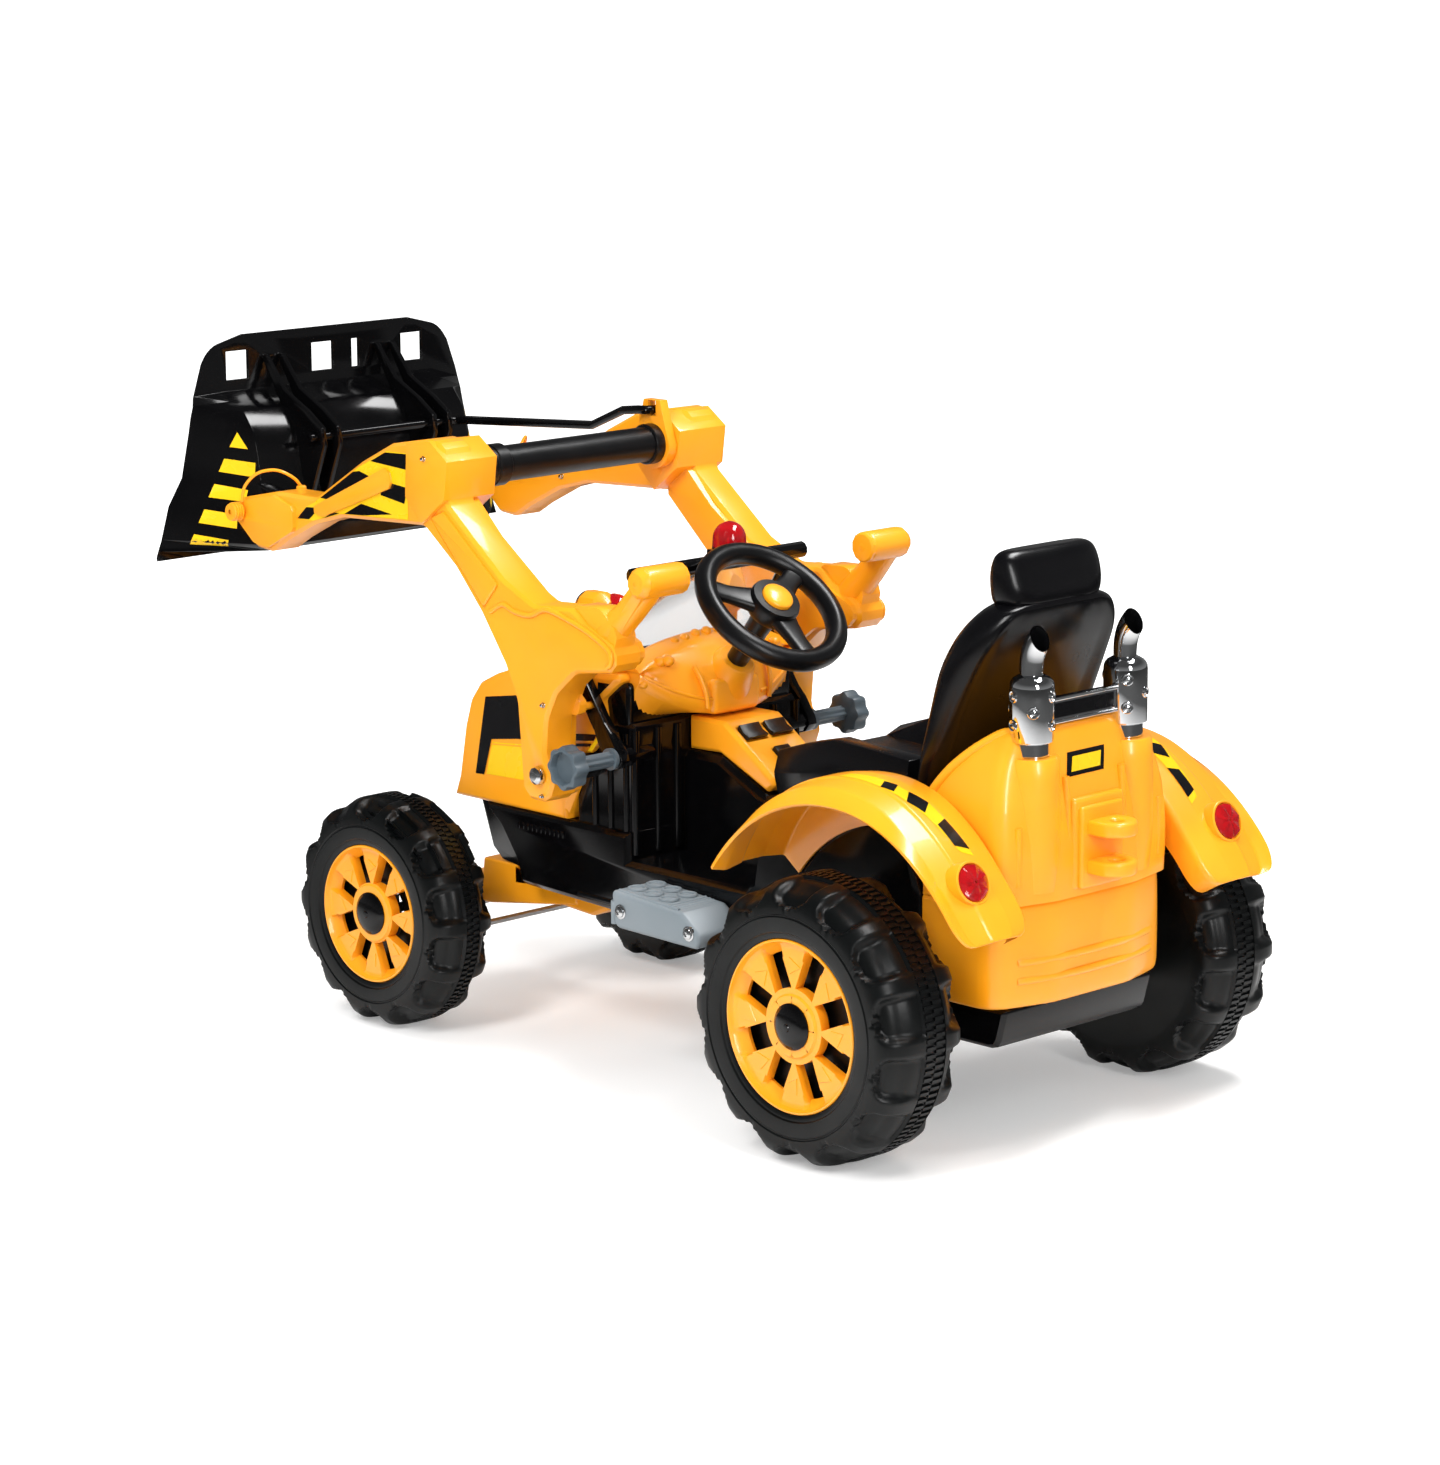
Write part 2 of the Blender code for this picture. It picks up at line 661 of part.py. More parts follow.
def console_box(low, high, depth, height, margin):
    """A box let into the sloping top: x and distance down the slope, depth below and height above."""
    origin, along, out = console_frame()
    if out.z < 0:
        out = -out
    rings = []
    for lift in (-depth, height):
        ring = []
        for x, s in ((low[0], low[1]), (high[0], low[1]), (high[0], high[1]), (low[0], high[1])):
            sx = margin if x == low[0] else -margin
            ss = margin if s == low[1] else -margin
            ring.append(origin + X_AXIS * (x + sx) + along * (s + ss) + out * lift)
        rings.append(ring)
    return loft(rings)


def switches():
    names = ("switch_speed", "switch_direction", "power_button")
    origin, along, out = console_frame()
    if out.z < 0:
        out = -out
    for name, (low, high, depth) in zip(names, CONSOLE_SLOTS):
        middle = origin + X_AXIS * (low[0] + high[0]) / 2 + along * (low[1] + high[1]) / 2
        if name == "power_button":
            rocker = console_box(low, high, depth - 0.004, 0.004, SPIN_GAP)
        else:
            half = (high[1] - low[1]) / 2 - RUN * 1.5
            profile = [(-half, 0.0), (-0.5 * half, -0.004), (0.5 * half, -0.004), (half, 0.0),
                       (half, 0.0045), (0.0, 0.002), (-half, 0.0045)]
            rings = []
            for x in (low[0] + SPIN_GAP, high[0] - SPIN_GAP):
                rings.append([origin + X_AXIS * x + along * ((low[1] + high[1]) / 2 + s) + out * h
                              for s, h in profile])
            rocker = loft(rings)
        solid(name, rocker, SATIN_BLACK, middle)


def accelerator_pedal():
    """Foot plate in the right foot-well, hinged at its heel."""
    heel = Vector((0.0, 0.150, TUB_FLOOR + 0.008))
    toe = Vector((0.0, 0.075, TUB_FLOOR + 0.036))
    along = (toe - heel).normalized()
    out = Vector((0, along.z, -along.y))
    if out.z < 0:
        out = -out
    outline = [heel - out * 0.003, toe - out * 0.003, toe + out * 0.003, heel + out * 0.003]
    pedal = solid("accelerator_pedal", prism([(p.y, p.z) for p in outline], -0.115, -0.070, "x"), GREY,
                  Vector((-0.0925, heel.y, heel.z)))
    join(pedal, rod((-0.116, heel.y, heel.z - 0.0015), (-0.069, heel.y, heel.z - 0.0015), 0.0058, 10))


def dash_panel():
    """Domed dash between the screen and the wheel."""
    stations = (-1.0, -0.86, -0.5, 0.0, 0.5, 0.86, 1.0)
    rings = []
    for t in stations:
        swell = math.sqrt(max(0.0, 1 - 0.75 * t * t))
        rear = 0.044 + 0.040 * swell
        crest = 0.430 + 0.045 * swell
        front = PEDESTAL_FRONT + 0.014
        base = PEDESTAL_TOP + GAP
        rings.append([Vector((t * DASH_HALF, y, z)) for y, z in (
            (front, base), (PEDESTAL_REAR - 0.001, base), (rear, base + 0.004), (rear + 0.004, base + 0.022),
            (rear - 0.016, crest - 0.030), (0.052, crest - 0.008), (0.026, crest),
            (0.008, crest - 0.010), (-0.002, 0.4470), (front, 0.441))])
    panel = solid("dash_panel", loft(rings), YELLOW)
    boss = COLUMN_BASE - WHEEL_AXIS * 0.035
    join(panel, turned([(0, 0.024), (0.042, 0.019)], boss, WHEEL_AXIS, 12))
    cut(panel, rod(COLUMN_BASE - WHEEL_AXIS * 0.028, COLUMN_BASE + WHEEL_AXIS * 0.03, COLUMN_RADIUS + SPIN_GAP, 14))
    cut(panel, screen_solid(GAP), pane_solid(2 * GAP))


def screen_points():
    """Centres of the screen's lower and upper bars."""
    base = Vector((0.0, SCREEN_BASE_Y, SCREEN_BASE_Z))
    top = Vector((0.0, SCREEN_TOP_Y, SCREEN_TOP_Z))
    return base, top


def screen_solid(margin):
    base, top = screen_points()
    r = SCREEN_BAR * 0.85 + margin
    half = SCREEN_HALF - 0.012
    return rod(base - X_AXIS * (half + margin), base + X_AXIS * (half + margin), r, 10)


def pane_solid(margin):
    """Clear pane between the two bars."""
    base, top = screen_points()
    direction = (top - base).normalized()
    across = Vector((0, direction.z, -direction.y))
    low = base + direction * (SCREEN_BAR * 0.85 + GAP)
    high = top - direction * (SCREEN_BAR + GAP)
    half = SCREEN_HALF - 0.012 - SCREEN_BAR * 0.75 - GAP * 2 + margin
    thick = 0.0015 + margin
    return loft([[spot + X_AXIS * s * half + across * t for s, t in
                  ((-1, -thick), (1, -thick), (1, thick), (-1, thick))] for spot in (low, high)])


def windscreen():
    base, top = screen_points()
    half = SCREEN_HALF - 0.012
    frame = solid("windscreen_frame", rod(top - X_AXIS * (SCREEN_HALF + 0.008), top + X_AXIS * (SCREEN_HALF + 0.008),
                                         SCREEN_BAR, 10), BLACK)
    join(frame, screen_solid(0.0))
    for side in (LEFT, RIGHT):
        join(frame, rod(base + X_AXIS * side * half - (top - base) * 0.02,
                        top + X_AXIS * side * half, SCREEN_BAR * 0.75, 10))
    shelf = block((BEACON_X - 0.019, BEACON_Y - 0.019, SCREEN_TOP_Z + 0.003),
                  (BEACON_X + 0.019, SCREEN_TOP_Y + 0.002, SCREEN_TOP_Z + SCREEN_BAR), 0.0015)
    join(frame, shelf)
    solid("windscreen_pane", pane_solid(0.0), PALE)


def beacon():
    base = SCREEN_TOP_Z + SCREEN_BAR + GAP
    profile = [(0, BEACON_RADIUS), (BEACON_HEIGHT * 0.45, BEACON_RADIUS), (BEACON_HEIGHT * 0.75, BEACON_RADIUS * 0.82),
               (BEACON_HEIGHT * 0.94, BEACON_RADIUS * 0.45), (BEACON_HEIGHT, BEACON_RADIUS * 0.15)]
    solid("beacon", turned(profile, (BEACON_X, BEACON_Y, base), Z_AXIS, 14), RED)


# Seat and rear

def seat_pan():
    base = SEAT_DECK + GAP
    stations = ((0.2465, 0.100, 0.345, 0.353, 0.351), (0.256, 0.116, base, 0.384, 0.376),
                (0.300, 0.120, base, 0.398, 0.372), (0.343, 0.120, base, 0.408, 0.368),
                (0.400, 0.120, base, 0.405, 0.368), (0.448, 0.112, base, 0.399, 0.370))
    rings = []
    for y, half, low, bolster, middle in stations:
        rings.append([Vector((x, y, z)) for x, z in (
            (-half + 0.006, low), (half - 0.006, low), (half, (low + bolster) / 2), (half - 0.008, bolster),
            (half - 0.034, bolster), (half - 0.056, middle), (-half + 0.056, middle), (-half + 0.034, bolster),
            (-half + 0.008, bolster), (-half, (low + bolster) / 2))])
    solid("seat_pan", loft(rings), BLACK)


def seat_back():
    stations = ((SEAT_DECK + GAP, 0.4535, 0.473, 0.4735, 0.104), (0.372, 0.4535, 0.487, 0.489, 0.114),
                (0.410, 0.468, 0.501, 0.509, 0.120), (0.450, 0.473, 0.513, 0.525, 0.120),
                (0.500, 0.482, 0.528, 0.549, 0.120), (0.543, 0.505, 0.545, 0.573, 0.112),
                (0.572, 0.526, 0.556, 0.583, 0.088), (0.582, 0.520, 0.560, 0.570, 0.070),
                (0.6175, 0.522, 0.554, 0.560, 0.0757), (0.629, 0.530, 0.548, 0.551, 0.062))
    rings = []
    for z, front, rear_side, rear, half in stations:
        dip = front + 0.010 if half > 0.08 else front - 0.004
        rings.append([Vector((x, y, z)) for x, y in (
            (-half * 0.55, dip), (half * 0.55, dip), (half * 0.9, front), (half, (front + rear_side) / 2),
            (half * 0.94, rear_side), (half * 0.5, rear), (-half * 0.5, rear), (-half * 0.94, rear_side),
            (-half, (front + rear_side) / 2), (-half * 0.9, front))])
    solid("seat_back", loft(rings), BLACK)


def rear_cowl():
    """Moulded tail behind the seat, with a boss under each exhaust stack."""
    stations = ((COWL_BASE, 0.4965, 0.600, 0.621, BUMPER_HALF), (0.330, 0.4965, 0.603, 0.622, 0.134),
                (0.367, 0.4965, 0.600, 0.618, 0.130), (0.400, 0.516, 0.596, 0.614, 0.123),
                (0.430, 0.548, 0.592, 0.608, 0.112), (0.450, 0.582, 0.590, 0.600, 0.098))
    rings = []
    for z, front, corner, rear, half in stations:
        rings.append([Vector((x, y, z)) for x, y in (
            (-half, front), (half, front), (half, corner - 0.004), (half * 0.88, corner + 0.010), (half * 0.45, rear),
            (-half * 0.45, rear), (-half * 0.88, corner + 0.010), (-half, corner - 0.004))])
    cowl = solid("rear_cowl", loft(rings), YELLOW)
    for side in (LEFT, RIGHT):
        foot = Vector((STACK_X, STACK_Y, 0.30))
        cut(cowl, mirrored(block((STACK_X - 0.0335, STACK_Y - 0.040, STACK_BASE),
                                 (STACK_X + 0.06, STACK_Y + 0.05, 0.47)), side))
        join(cowl, mirrored(turned([(0, 0.012), (0.06, 0.0275), (STACK_BASE - 0.30, 0.0275)], foot, Z_AXIS, 12), side))


def rear_bumper():
    """Wrapped bumper with two long grooves across its back."""
    plan = rounded([(-BUMPER_HALF, TUB_REAR + GAP, 0), (BUMPER_HALF, TUB_REAR + GAP, 0),
                    (BUMPER_HALF, 0.596, 0.030), (0.06, BUMPER_REAR, 0.05), (-0.06, BUMPER_REAR, 0.05),
                    (-BUMPER_HALF, 0.596, 0.030)], 2)
    bumper = solid("rear_bumper", prism(plan, BUMPER_LOW, COWL_BASE - GAP, "z", 0.003), YELLOW)
    for z in (0.192, 0.214):
        cut(bumper, rod((-0.085, BUMPER_REAR + 0.001, z), (0.085, BUMPER_REAR + 0.001, z), 0.004, 6))


def tow_hitch():
    """Clevis for a trailer: two bored tongues on a flange."""
    back = 0.6220 + GAP
    flange = solid("tow_hitch", block((-0.036, back, HITCH_LOW - 0.022), (0.036, back + 0.006, HITCH_HIGH + 0.022), 0.002),
                   YELLOW)
    for z in (HITCH_LOW, HITCH_HIGH):
        plan = [(HITCH_RADIUS, back + 0.002)] + circle((0, HITCH_PIN_Y), HITCH_RADIUS, 6, 0, 180)
        plan.append((-HITCH_RADIUS, back + 0.002))
        join(flange, prism(plan, z - HITCH_PLATE / 2, z + HITCH_PLATE / 2, "z"))
    cut(flange, rod((0, HITCH_PIN_Y + 0.003, HITCH_LOW - 0.02), (0, HITCH_PIN_Y + 0.003, HITCH_HIGH + 0.02), HITCH_HOLE, 10))


def fender_station(angle, rise):
    """Cross-section of the fender at an angle round the rear axle."""
    lip = 0.2225 + 0.2 * rise
    crown = 0.236 + rise
    skin = FENDER_SKIN
    inner = FENDER_INNER
    section = [(inner, 0.186), (inner, crown - 0.004), (0.165, crown + 0.001), (0.200, crown),
               (0.232, crown - 0.006), (0.250, lip), (0.250 - skin, lip - 0.001), (0.230, crown - 0.006 - skin),
               (0.200, crown - skin), (0.165, crown - skin), (inner + skin, crown - 0.004 - skin),
               (inner + skin, 0.186)]
    a = math.radians(angle)
    return [Vector((x, REAR_AXLE.y + r * math.cos(a), REAR_AXLE.z + r * math.sin(a))) for x, r in section]


def lamp_seat():
    """Centre and outward direction of the tail lamp's pad on the left fender."""
    a = math.radians(LAMP_ANGLE)
    out = Vector((0.16, math.cos(a), math.sin(a))).normalized()
    seat = Vector((LAMP_X, REAR_AXLE.y + LAMP_REACH * math.cos(a), REAR_AXLE.z + LAMP_REACH * math.sin(a)))
    return seat, out


def fenders():
    stations = ((29, -0.018), (37, -0.018), (48, -0.016), (62, -0.006), (78, 0.006),
                (94, 0.010), (110, 0.008), (126, 0.000), (143, -0.016))
    seat, out = lamp_seat()
    for hand, side in (("left", LEFT), ("right", RIGHT)):
        rings = [fender_station(angle, rise) for angle, rise in stations]
        fender = solid(f"fender_{hand}", mirrored(loft(rings), side), YELLOW)
        pad = mirrored(rod(seat - out * 0.012, seat, LAMP_RADIUS + 0.002, 12), side)
        boolean(fender, pad, "UNION", "MANIFOLD")


def tail_lights():
    seat, out = lamp_seat()
    profile = [(GAP, LAMP_RADIUS), (0.004, LAMP_RADIUS * 0.92), (0.0085, LAMP_RADIUS * 0.5)]
    for hand, side in (("left", LEFT), ("right", RIGHT)):
        solid(f"tail_light_{hand}", mirrored(turned(profile, seat, out, 12), side), RED)


def exhaust_stacks():
    """Twin chromed stacks joined by a name-plate bar that is left bare."""
    half = STACK_X - STACK_RADIUS * 0.5
    y = STACK_Y + 0.004
    stacks = solid("exhaust_stacks", block((-half, y - 0.004, STACK_BASE + 0.0285), (half, y + 0.004, STACK_BASE + 0.060)), CHROME)
    r = STACK_RADIUS
    height = STACK_TOP - STACK_BASE
    profile = [(0, r * 0.78), (height * 0.18, r * 0.78), (height * 0.18, r), (height * 0.54, r),
               (height * 0.58, r * 0.86), (height * 0.62, r), (height, r), (height + 0.006, r * 0.6)]
    for side in (LEFT, RIGHT):
        base = Vector((STACK_X, STACK_Y, STACK_BASE + GAP))
        join(stacks, mirrored(turned(profile, base, Z_AXIS, 10), side))
        bend = [(STACK_X, STACK_Y, STACK_TOP - 0.004), (STACK_X, STACK_Y, STACK_TOP + 0.016),
                (STACK_X, STACK_Y + 0.005, STACK_TOP + 0.034), (STACK_X, STACK_Y + 0.024, STACK_TOP + 0.050)]
        join(stacks, mirrored(swept(bend, 0.013, 8), side))
        mouth = Vector((STACK_X, STACK_Y + 0.013, STACK_TOP + 0.041))
        cut(stacks, mirrored(rod(mouth, mouth + Vector((0, 0.024, 0.020)), 0.0095, 8), side))


def footsteps():
    outline = rounded([(0.094, 0.219, 0.006), (0.100, 0.176, 0.008), (0.234, 0.173, 0.010), (0.236, 0.190, 0.008),
                       (0.206, 0.211, 0.006)], 2)
    for hand, side in (("left", LEFT), ("right", RIGHT)):
        step = prism(outline, BODY_HALF + GAP, 0.2105, "x", 0.003)
        solid(f"footstep_{hand}", mirrored(step, side), GREY)


def pivot_bolts():
    """Domed bolts on which the booms turn."""
    seat = BOOM_OUTER + RUN
    profile = [(PEDESTAL_HALF - 0.018, PIVOT_BOLT), (seat, PIVOT_BOLT), (seat, 0.011), (seat + 0.006, 0.0098),
               (seat + 0.009, 0.0055)]
    for hand, side in (("left", LEFT), ("right", RIGHT)):
        bolt = turned(profile, (0, BOOM_PIVOT.y, BOOM_PIVOT.z), X_AXIS, 10)
        solid(f"pivot_bolt_{hand}", mirrored(bolt, side), CHROME)


# Steering

def steering_wheel():
    top = COLUMN_BASE + WHEEL_AXIS * COLUMN_LENGTH
    centre = top - WHEEL_AXIS * 0.012
    column = [(-0.026, COLUMN_RADIUS), (COLUMN_LENGTH - 0.012, COLUMN_RADIUS), (COLUMN_LENGTH - 0.012, HUB_RADIUS * 0.8),
              (COLUMN_LENGTH - 0.004, HUB_RADIUS), (COLUMN_LENGTH + 0.004, HUB_RADIUS * 0.95)]
    wheel = solid("steering_wheel", turned(column, COLUMN_BASE, WHEEL_AXIS, 12), BLACK, centre)
    ring = circle((0.0, WHEEL_RING), WHEEL_TUBE, 6)
    join(wheel, turned(ring, centre, WHEEL_AXIS, 24, closed=True))
    direction, across, up = side_frame(WHEEL_AXIS)
    for angle in (90, 210, 330):
        a = math.radians(angle)
        out = across * math.cos(a) + up * math.sin(a)
        wide = WHEEL_AXIS.cross(out)
        rings = []
        for reach, half, lift in ((0.016, 0.013, 0.008), (WHEEL_RING - 0.003, 0.009, 0.0)):
            spot = centre + out * reach + WHEEL_AXIS * lift
            rings.append([spot + wide * half * s + WHEEL_AXIS * 0.0045 * t for s, t in
                          ((-1, -1), (1, -1), (1, 1), (-1, 1))])
        join(wheel, loft(rings))
    pocket = COLUMN_BASE + WHEEL_AXIS * (COLUMN_LENGTH - 0.002)
    cut(wheel, turned([(0, 0.0160 + SPIN_GAP), (0.02, 0.0160 + SPIN_GAP)], pocket, WHEEL_AXIS, 12))


def horn_button():
    base = COLUMN_BASE + WHEEL_AXIS * (COLUMN_LENGTH - 0.002 + 0.0035)
    profile = [(0, 0.0160), (0.004, 0.0160), (0.008, 0.0120), (0.010, 0.005)]
    solid("horn_button", turned(profile, base, WHEEL_AXIS, 12), YELLOW, base)


def knuckles():
    y, z = FRONT_AXLE.y, FRONT_AXLE.z
    half = BEAM_HALF_HEIGHT
    inner_face = FRONT_FACE - FRONT_WIDTH
    for hand, side in (("left", LEFT), ("right", RIGHT)):
        top = z + half + RUN
        low = z - half - RUN
        web_x = KINGPIN_X + 0.0115
        obj = solid(f"knuckle_{hand}", mirrored(block((web_x, y - 0.011, low - 0.006), (inner_face - 0.003, y + 0.011, top + 0.006)),
                                                side), STEEL, (side * KINGPIN_X, y, z))
        for base in (top, low - 0.006):
            cheek = [(web_x + 0.001, y - 0.011), (web_x + 0.001, y + 0.011)] + circle((KINGPIN_X, y), 0.0105, 6, 90, 270)
            if base == top:
                cheek = [(web_x + 0.001, y - 0.011), (web_x + 0.001, y + 0.011)] + circle((KINGPIN_X, y), 0.0105, 6, 90, 270)
            join(obj, mirrored(prism(cheek, base, base + 0.0057, "z"), side))
        join(obj, mirrored(rod((KINGPIN_X, y, low - 0.003), (KINGPIN_X, y, top + 0.003), KINGPIN_RADIUS, 10), side))
        join(obj, mirrored(rod((inner_face - 0.006, y, z), (FRONT_FACE - 0.011, y, z), AXLE_RADIUS, 10), side))
        arm = block((KINGPIN_X - 0.007, y + 0.004, low - 0.0058), (KINGPIN_X + 0.007, y + STEER_ARM + 0.007, low - 0.0006))
        join(obj, mirrored(arm, side))
        pin = (KINGPIN_X, y + STEER_ARM)
        join(obj, mirrored(rod((*pin, low - 0.014), (*pin, low - 0.003), 0.0035, 10), side))


def tie_rod():
    """Rod between the steering arms; its slotted eyes leave room for the arms' arc."""
    y = FRONT_AXLE.y + STEER_ARM
    top = FRONT_AXLE.z - BEAM_HALF_HEIGHT - RUN - 0.006 - 0.0008
    low = top - 0.007
    middle = (top + low) / 2
    obj = solid("tie_rod", rod((-KINGPIN_X + 0.006, y, middle), (KINGPIN_X - 0.006, y, middle), 0.0038, 10), STEEL)
    swing = STEER_ARM * (1 - math.cos(math.radians(STEER_SWING)))
    for side in (LEFT, RIGHT):
        eye = rounded([(KINGPIN_X - 0.010, y - swing - 0.010, 0.006), (KINGPIN_X + 0.010, y - swing - 0.010, 0.006),
                       (KINGPIN_X + 0.010, y + 0.010, 0.006), (KINGPIN_X - 0.010, y + 0.010, 0.006)], 1)
        join(obj, mirrored(prism(eye, low, top, "z"), side))
    for side in (LEFT, RIGHT):
        slot = 0.0035 + RUN
        cut(obj, mirrored(block((KINGPIN_X - slot, y - swing - slot, low - 0.01), (KINGPIN_X + slot, y + slot, top + 0.01)), side))


# Loader

def boom_outline():
    """Side view of the boom: leg, shoulder, lower arm, elbow, forearm and tip."""
    return rounded([
        (-0.006, 0.300, 0.012), (0.006, 0.330, 0.012), (-0.010, 0.354, 0.010), (-0.006, 0.396, 0.020),
        (0.010, 0.427, 0.014), (0.042, 0.454, 0.012), (0.107, 0.463, 0.010), (0.108, 0.490, 0.012),
        (0.060, 0.511, 0.012), (0.040, 0.5265, 0.010), (-0.024, 0.5225, 0.012), (-0.076, 0.5465, 0),
        (-0.168, 0.620, 0.006), (-0.165, 0.660, 0.010), (-0.176, 0.688, 0.010), (-0.200, 0.692, 0.012),
        (-0.265, 0.681, 0.010), (-0.320, 0.655, 0.020), (-0.406, 0.604, 0.010), (-0.479, 0.604, 0.012),
        (TIP.y - 0.019, TIP.z + 0.012, 0.014), (TIP.y - 0.017, TIP.z - 0.012, 0.012), (-0.521, 0.534, 0.008),
        (-0.490, 0.531, 0.010), (-0.463, 0.547, 0.010), (-0.410, 0.5725, 0.020), (-0.357, 0.586, 0.020),
        (-0.212, 0.592, 0.010), (-0.158, 0.551, 0), (-0.114, 0.503, 0), (-0.075, 0.449, 0.012),
        (-0.056, 0.410, 0.012), (-0.052, 0.360, 0.010), (-0.047, 0.302, 0.012)], 1)


def boom(hand, side):
    arm = solid(f"boom_{hand}", mirrored(prism(boom_outline(), TIP_INNER, BOOM_OUTER, "x", 0.004), side), YELLOW,
                (side * (BOOM_INNER + BOOM_OUTER) / 2, BOOM_PIVOT.y, BOOM_PIVOT.z))
    shapes = []
    inner_leg = rounded([(-0.008, 0.303, 0.010), (0.003, 0.330, 0.010), (-0.013, 0.355, 0.010), (-0.010, 0.398, 0.014),
                         (0.006, 0.430, 0.012), (0.040, 0.457, 0.012), (0.103, 0.466, 0.010), (0.104, 0.488, 0.010),
                         (0.030, 0.520, 0.012), (-0.038, 0.5165, 0.012), (-0.131, 0.583, 0), (-0.178, 0.628, 0.008),
                         (-0.210, 0.594, 0.008), (-0.110, 0.503, 0), (-0.072, 0.449, 0.012),
                         (-0.053, 0.410, 0.010), (-0.049, 0.360, 0.010), (-0.044, 0.305, 0.010)], 1)
    shapes.append(prism(inner_leg, BOOM_INNER, TIP_INNER + 0.004, "x"))
    elbow = [(ELBOW.y + dy, ELBOW.z + dz) for dy, dz in (
        (-0.040, -0.030), (-0.012, -0.058), (0.028, -0.028), (0.034, 0.016), (0.004, 0.037), (-0.036, 0.031))]
    shapes.append(prism(elbow, ELBOW_INNER, BOOM_OUTER + 0.005, "x"))
    forearm_bar = rounded([(-0.268, 0.655, 0.006), (-0.262, 0.631, 0.006), (-0.388, 0.584, 0.006),
                           (-0.415, 0.590, 0.006)], 1)
    shapes.append(prism(forearm_bar, BOOM_OUTER - 0.004, BOOM_OUTER + 0.004, "x"))
    tip_plate = rounded([(-0.441, 0.562, 0.006), (-0.441, 0.590, 0.006), (-0.479, 0.600, 0.010), (-0.549, 0.586, 0.010),
                         (-0.549, 0.566, 0.010), (-0.516, 0.540, 0.008), (-0.490, 0.537, 0.008)], 1)
    shapes.append(prism(tip_plate, BOOM_OUTER - 0.004, TIP_OUTER, "x"))
    hump = rounded([(0.020, 0.500, 0), (0.100, 0.480, 0), (0.107, 0.506, 0.010), (0.078, 0.531, 0.010),
                    (0.040, 0.530, 0.008)], 1)
    shapes.append(prism(hump, TIP_INNER + 0.008, BOOM_OUTER - 0.006, "x"))
    shoulder = Vector(((GRIP_INNER + GRIP_OUTER) / 2 + GRIP_ARM, 0.086, 0.500))
    shapes.append(swept([shoulder, (shoulder.x, GRIP.y, GRIP.z)], GRIP_ARM, 8))
    grip = [(GRIP_INNER, GRIP_RADIUS * 0.88), (GRIP_INNER + 0.002, GRIP_RADIUS), (GRIP_OUTER - 0.007, GRIP_RADIUS),
            (GRIP_OUTER, GRIP_RADIUS * 0.7)]
    shapes.append(turned(grip, (0, GRIP.y, GRIP.z), X_AXIS, 12))
    stay_pin = rod((STAY_INNER, STAY_PIN_Y, STAY_PIN_Z), (BOOM_INNER + 0.006, STAY_PIN_Y, STAY_PIN_Z), STAY_PIN, 8)
    lug = rounded([(STAY_PIN_Y - 0.030, STAY_PIN_Z - 0.006, 0), (STAY_PIN_Y + 0.004, STAY_PIN_Z - 0.009, 0.004),
                   (STAY_PIN_Y + 0.008, STAY_PIN_Z + 0.006, 0.004), (STAY_PIN_Y - 0.010, STAY_PIN_Z + 0.022, 0)], 1)
    shapes.append(prism(lug, BOOM_INNER + 0.001, BOOM_INNER + 0.012, "x"))
    shapes.append(stay_pin)
    for bm in shapes:
        join(arm, mirrored(bm, side))
    reach = BOOM_OUTER + 0.02
    cut(arm, mirrored(rod((PEDESTAL_HALF, BOOM_PIVOT.y, BOOM_PIVOT.z), (reach, BOOM_PIVOT.y, BOOM_PIVOT.z),
                          PIVOT_BOLT + SPIN_GAP, 10), side))
    cut(arm, mirrored(rod((EAR_INNER, TIP.y, TIP.z), (TIP_OUTER + 0.01, TIP.y, TIP.z), PIN_RADIUS + SPIN_GAP, 10), side))
    cut(arm, mirrored(rod((ELBOW_INNER - 0.01, ELBOW.y, ELBOW.z), (ELBOW_INNER + 0.012, ELBOW.y, ELBOW.z),
                          CROSS_RADIUS + GAP * 2, 12), side))


def cross_tube():
    """Tube between the elbows, socketed in both, with a collar at each end."""
    end = ELBOW_INNER + 0.011
    collar_out = ELBOW_INNER - 0.001
    profile = [(-end, CROSS_RADIUS), (-ROCKER_INNER + 0.004, CROSS_RADIUS),
               (-ROCKER_INNER + 0.004, COLLAR_RADIUS), (-ROCKER_INNER + 0.016, COLLAR_RADIUS),
               (-ROCKER_INNER + 0.016, CROSS_RADIUS), (collar_out - 0.022, CROSS_RADIUS),
               (collar_out - 0.022, COLLAR_RADIUS), (collar_out, COLLAR_RADIUS), (collar_out, CROSS_RADIUS),
               (end, CROSS_RADIUS)]
    solid("cross_tube", turned(profile, (0, ELBOW.y, ELBOW.z), X_AXIS, 12), BLACK)


def boom_pins():
    """Ribbed pins through the boom tips and the bucket's ears."""
    seat = TIP_OUTER + RUN
    profile = [(EAR_INNER - 0.002, PIN_RADIUS), (seat, PIN_RADIUS), (seat, 0.0095), (seat + 0.004, 0.0078),
               (seat + 0.008, 0.0095), (seat + 0.013, 0.0095)]
    for hand, side in (("left", LEFT), ("right", RIGHT)):
        solid(f"boom_pin_{hand}", mirrored(turned(profile, (0, TIP.y, TIP.z), X_AXIS, 10), side), YELLOW)


def bucket_profile():
    """Centre section of the bucket's back, from the top edge down to the lip."""
    shares = [(1, 0.771), (1, 0.704), (0.830, 0.694), (0.604, 0.684), (0.434, 0.662), (0.368, 0.634), (0.330, 0.606),
              (0.226, 0.570), (0, 0.528), (0.245, 0.519), (1, 0.509)]
    return [(BUCKET_BACK + (MOUTH_Y - BUCKET_BACK) * share, z) for share, z in shares]


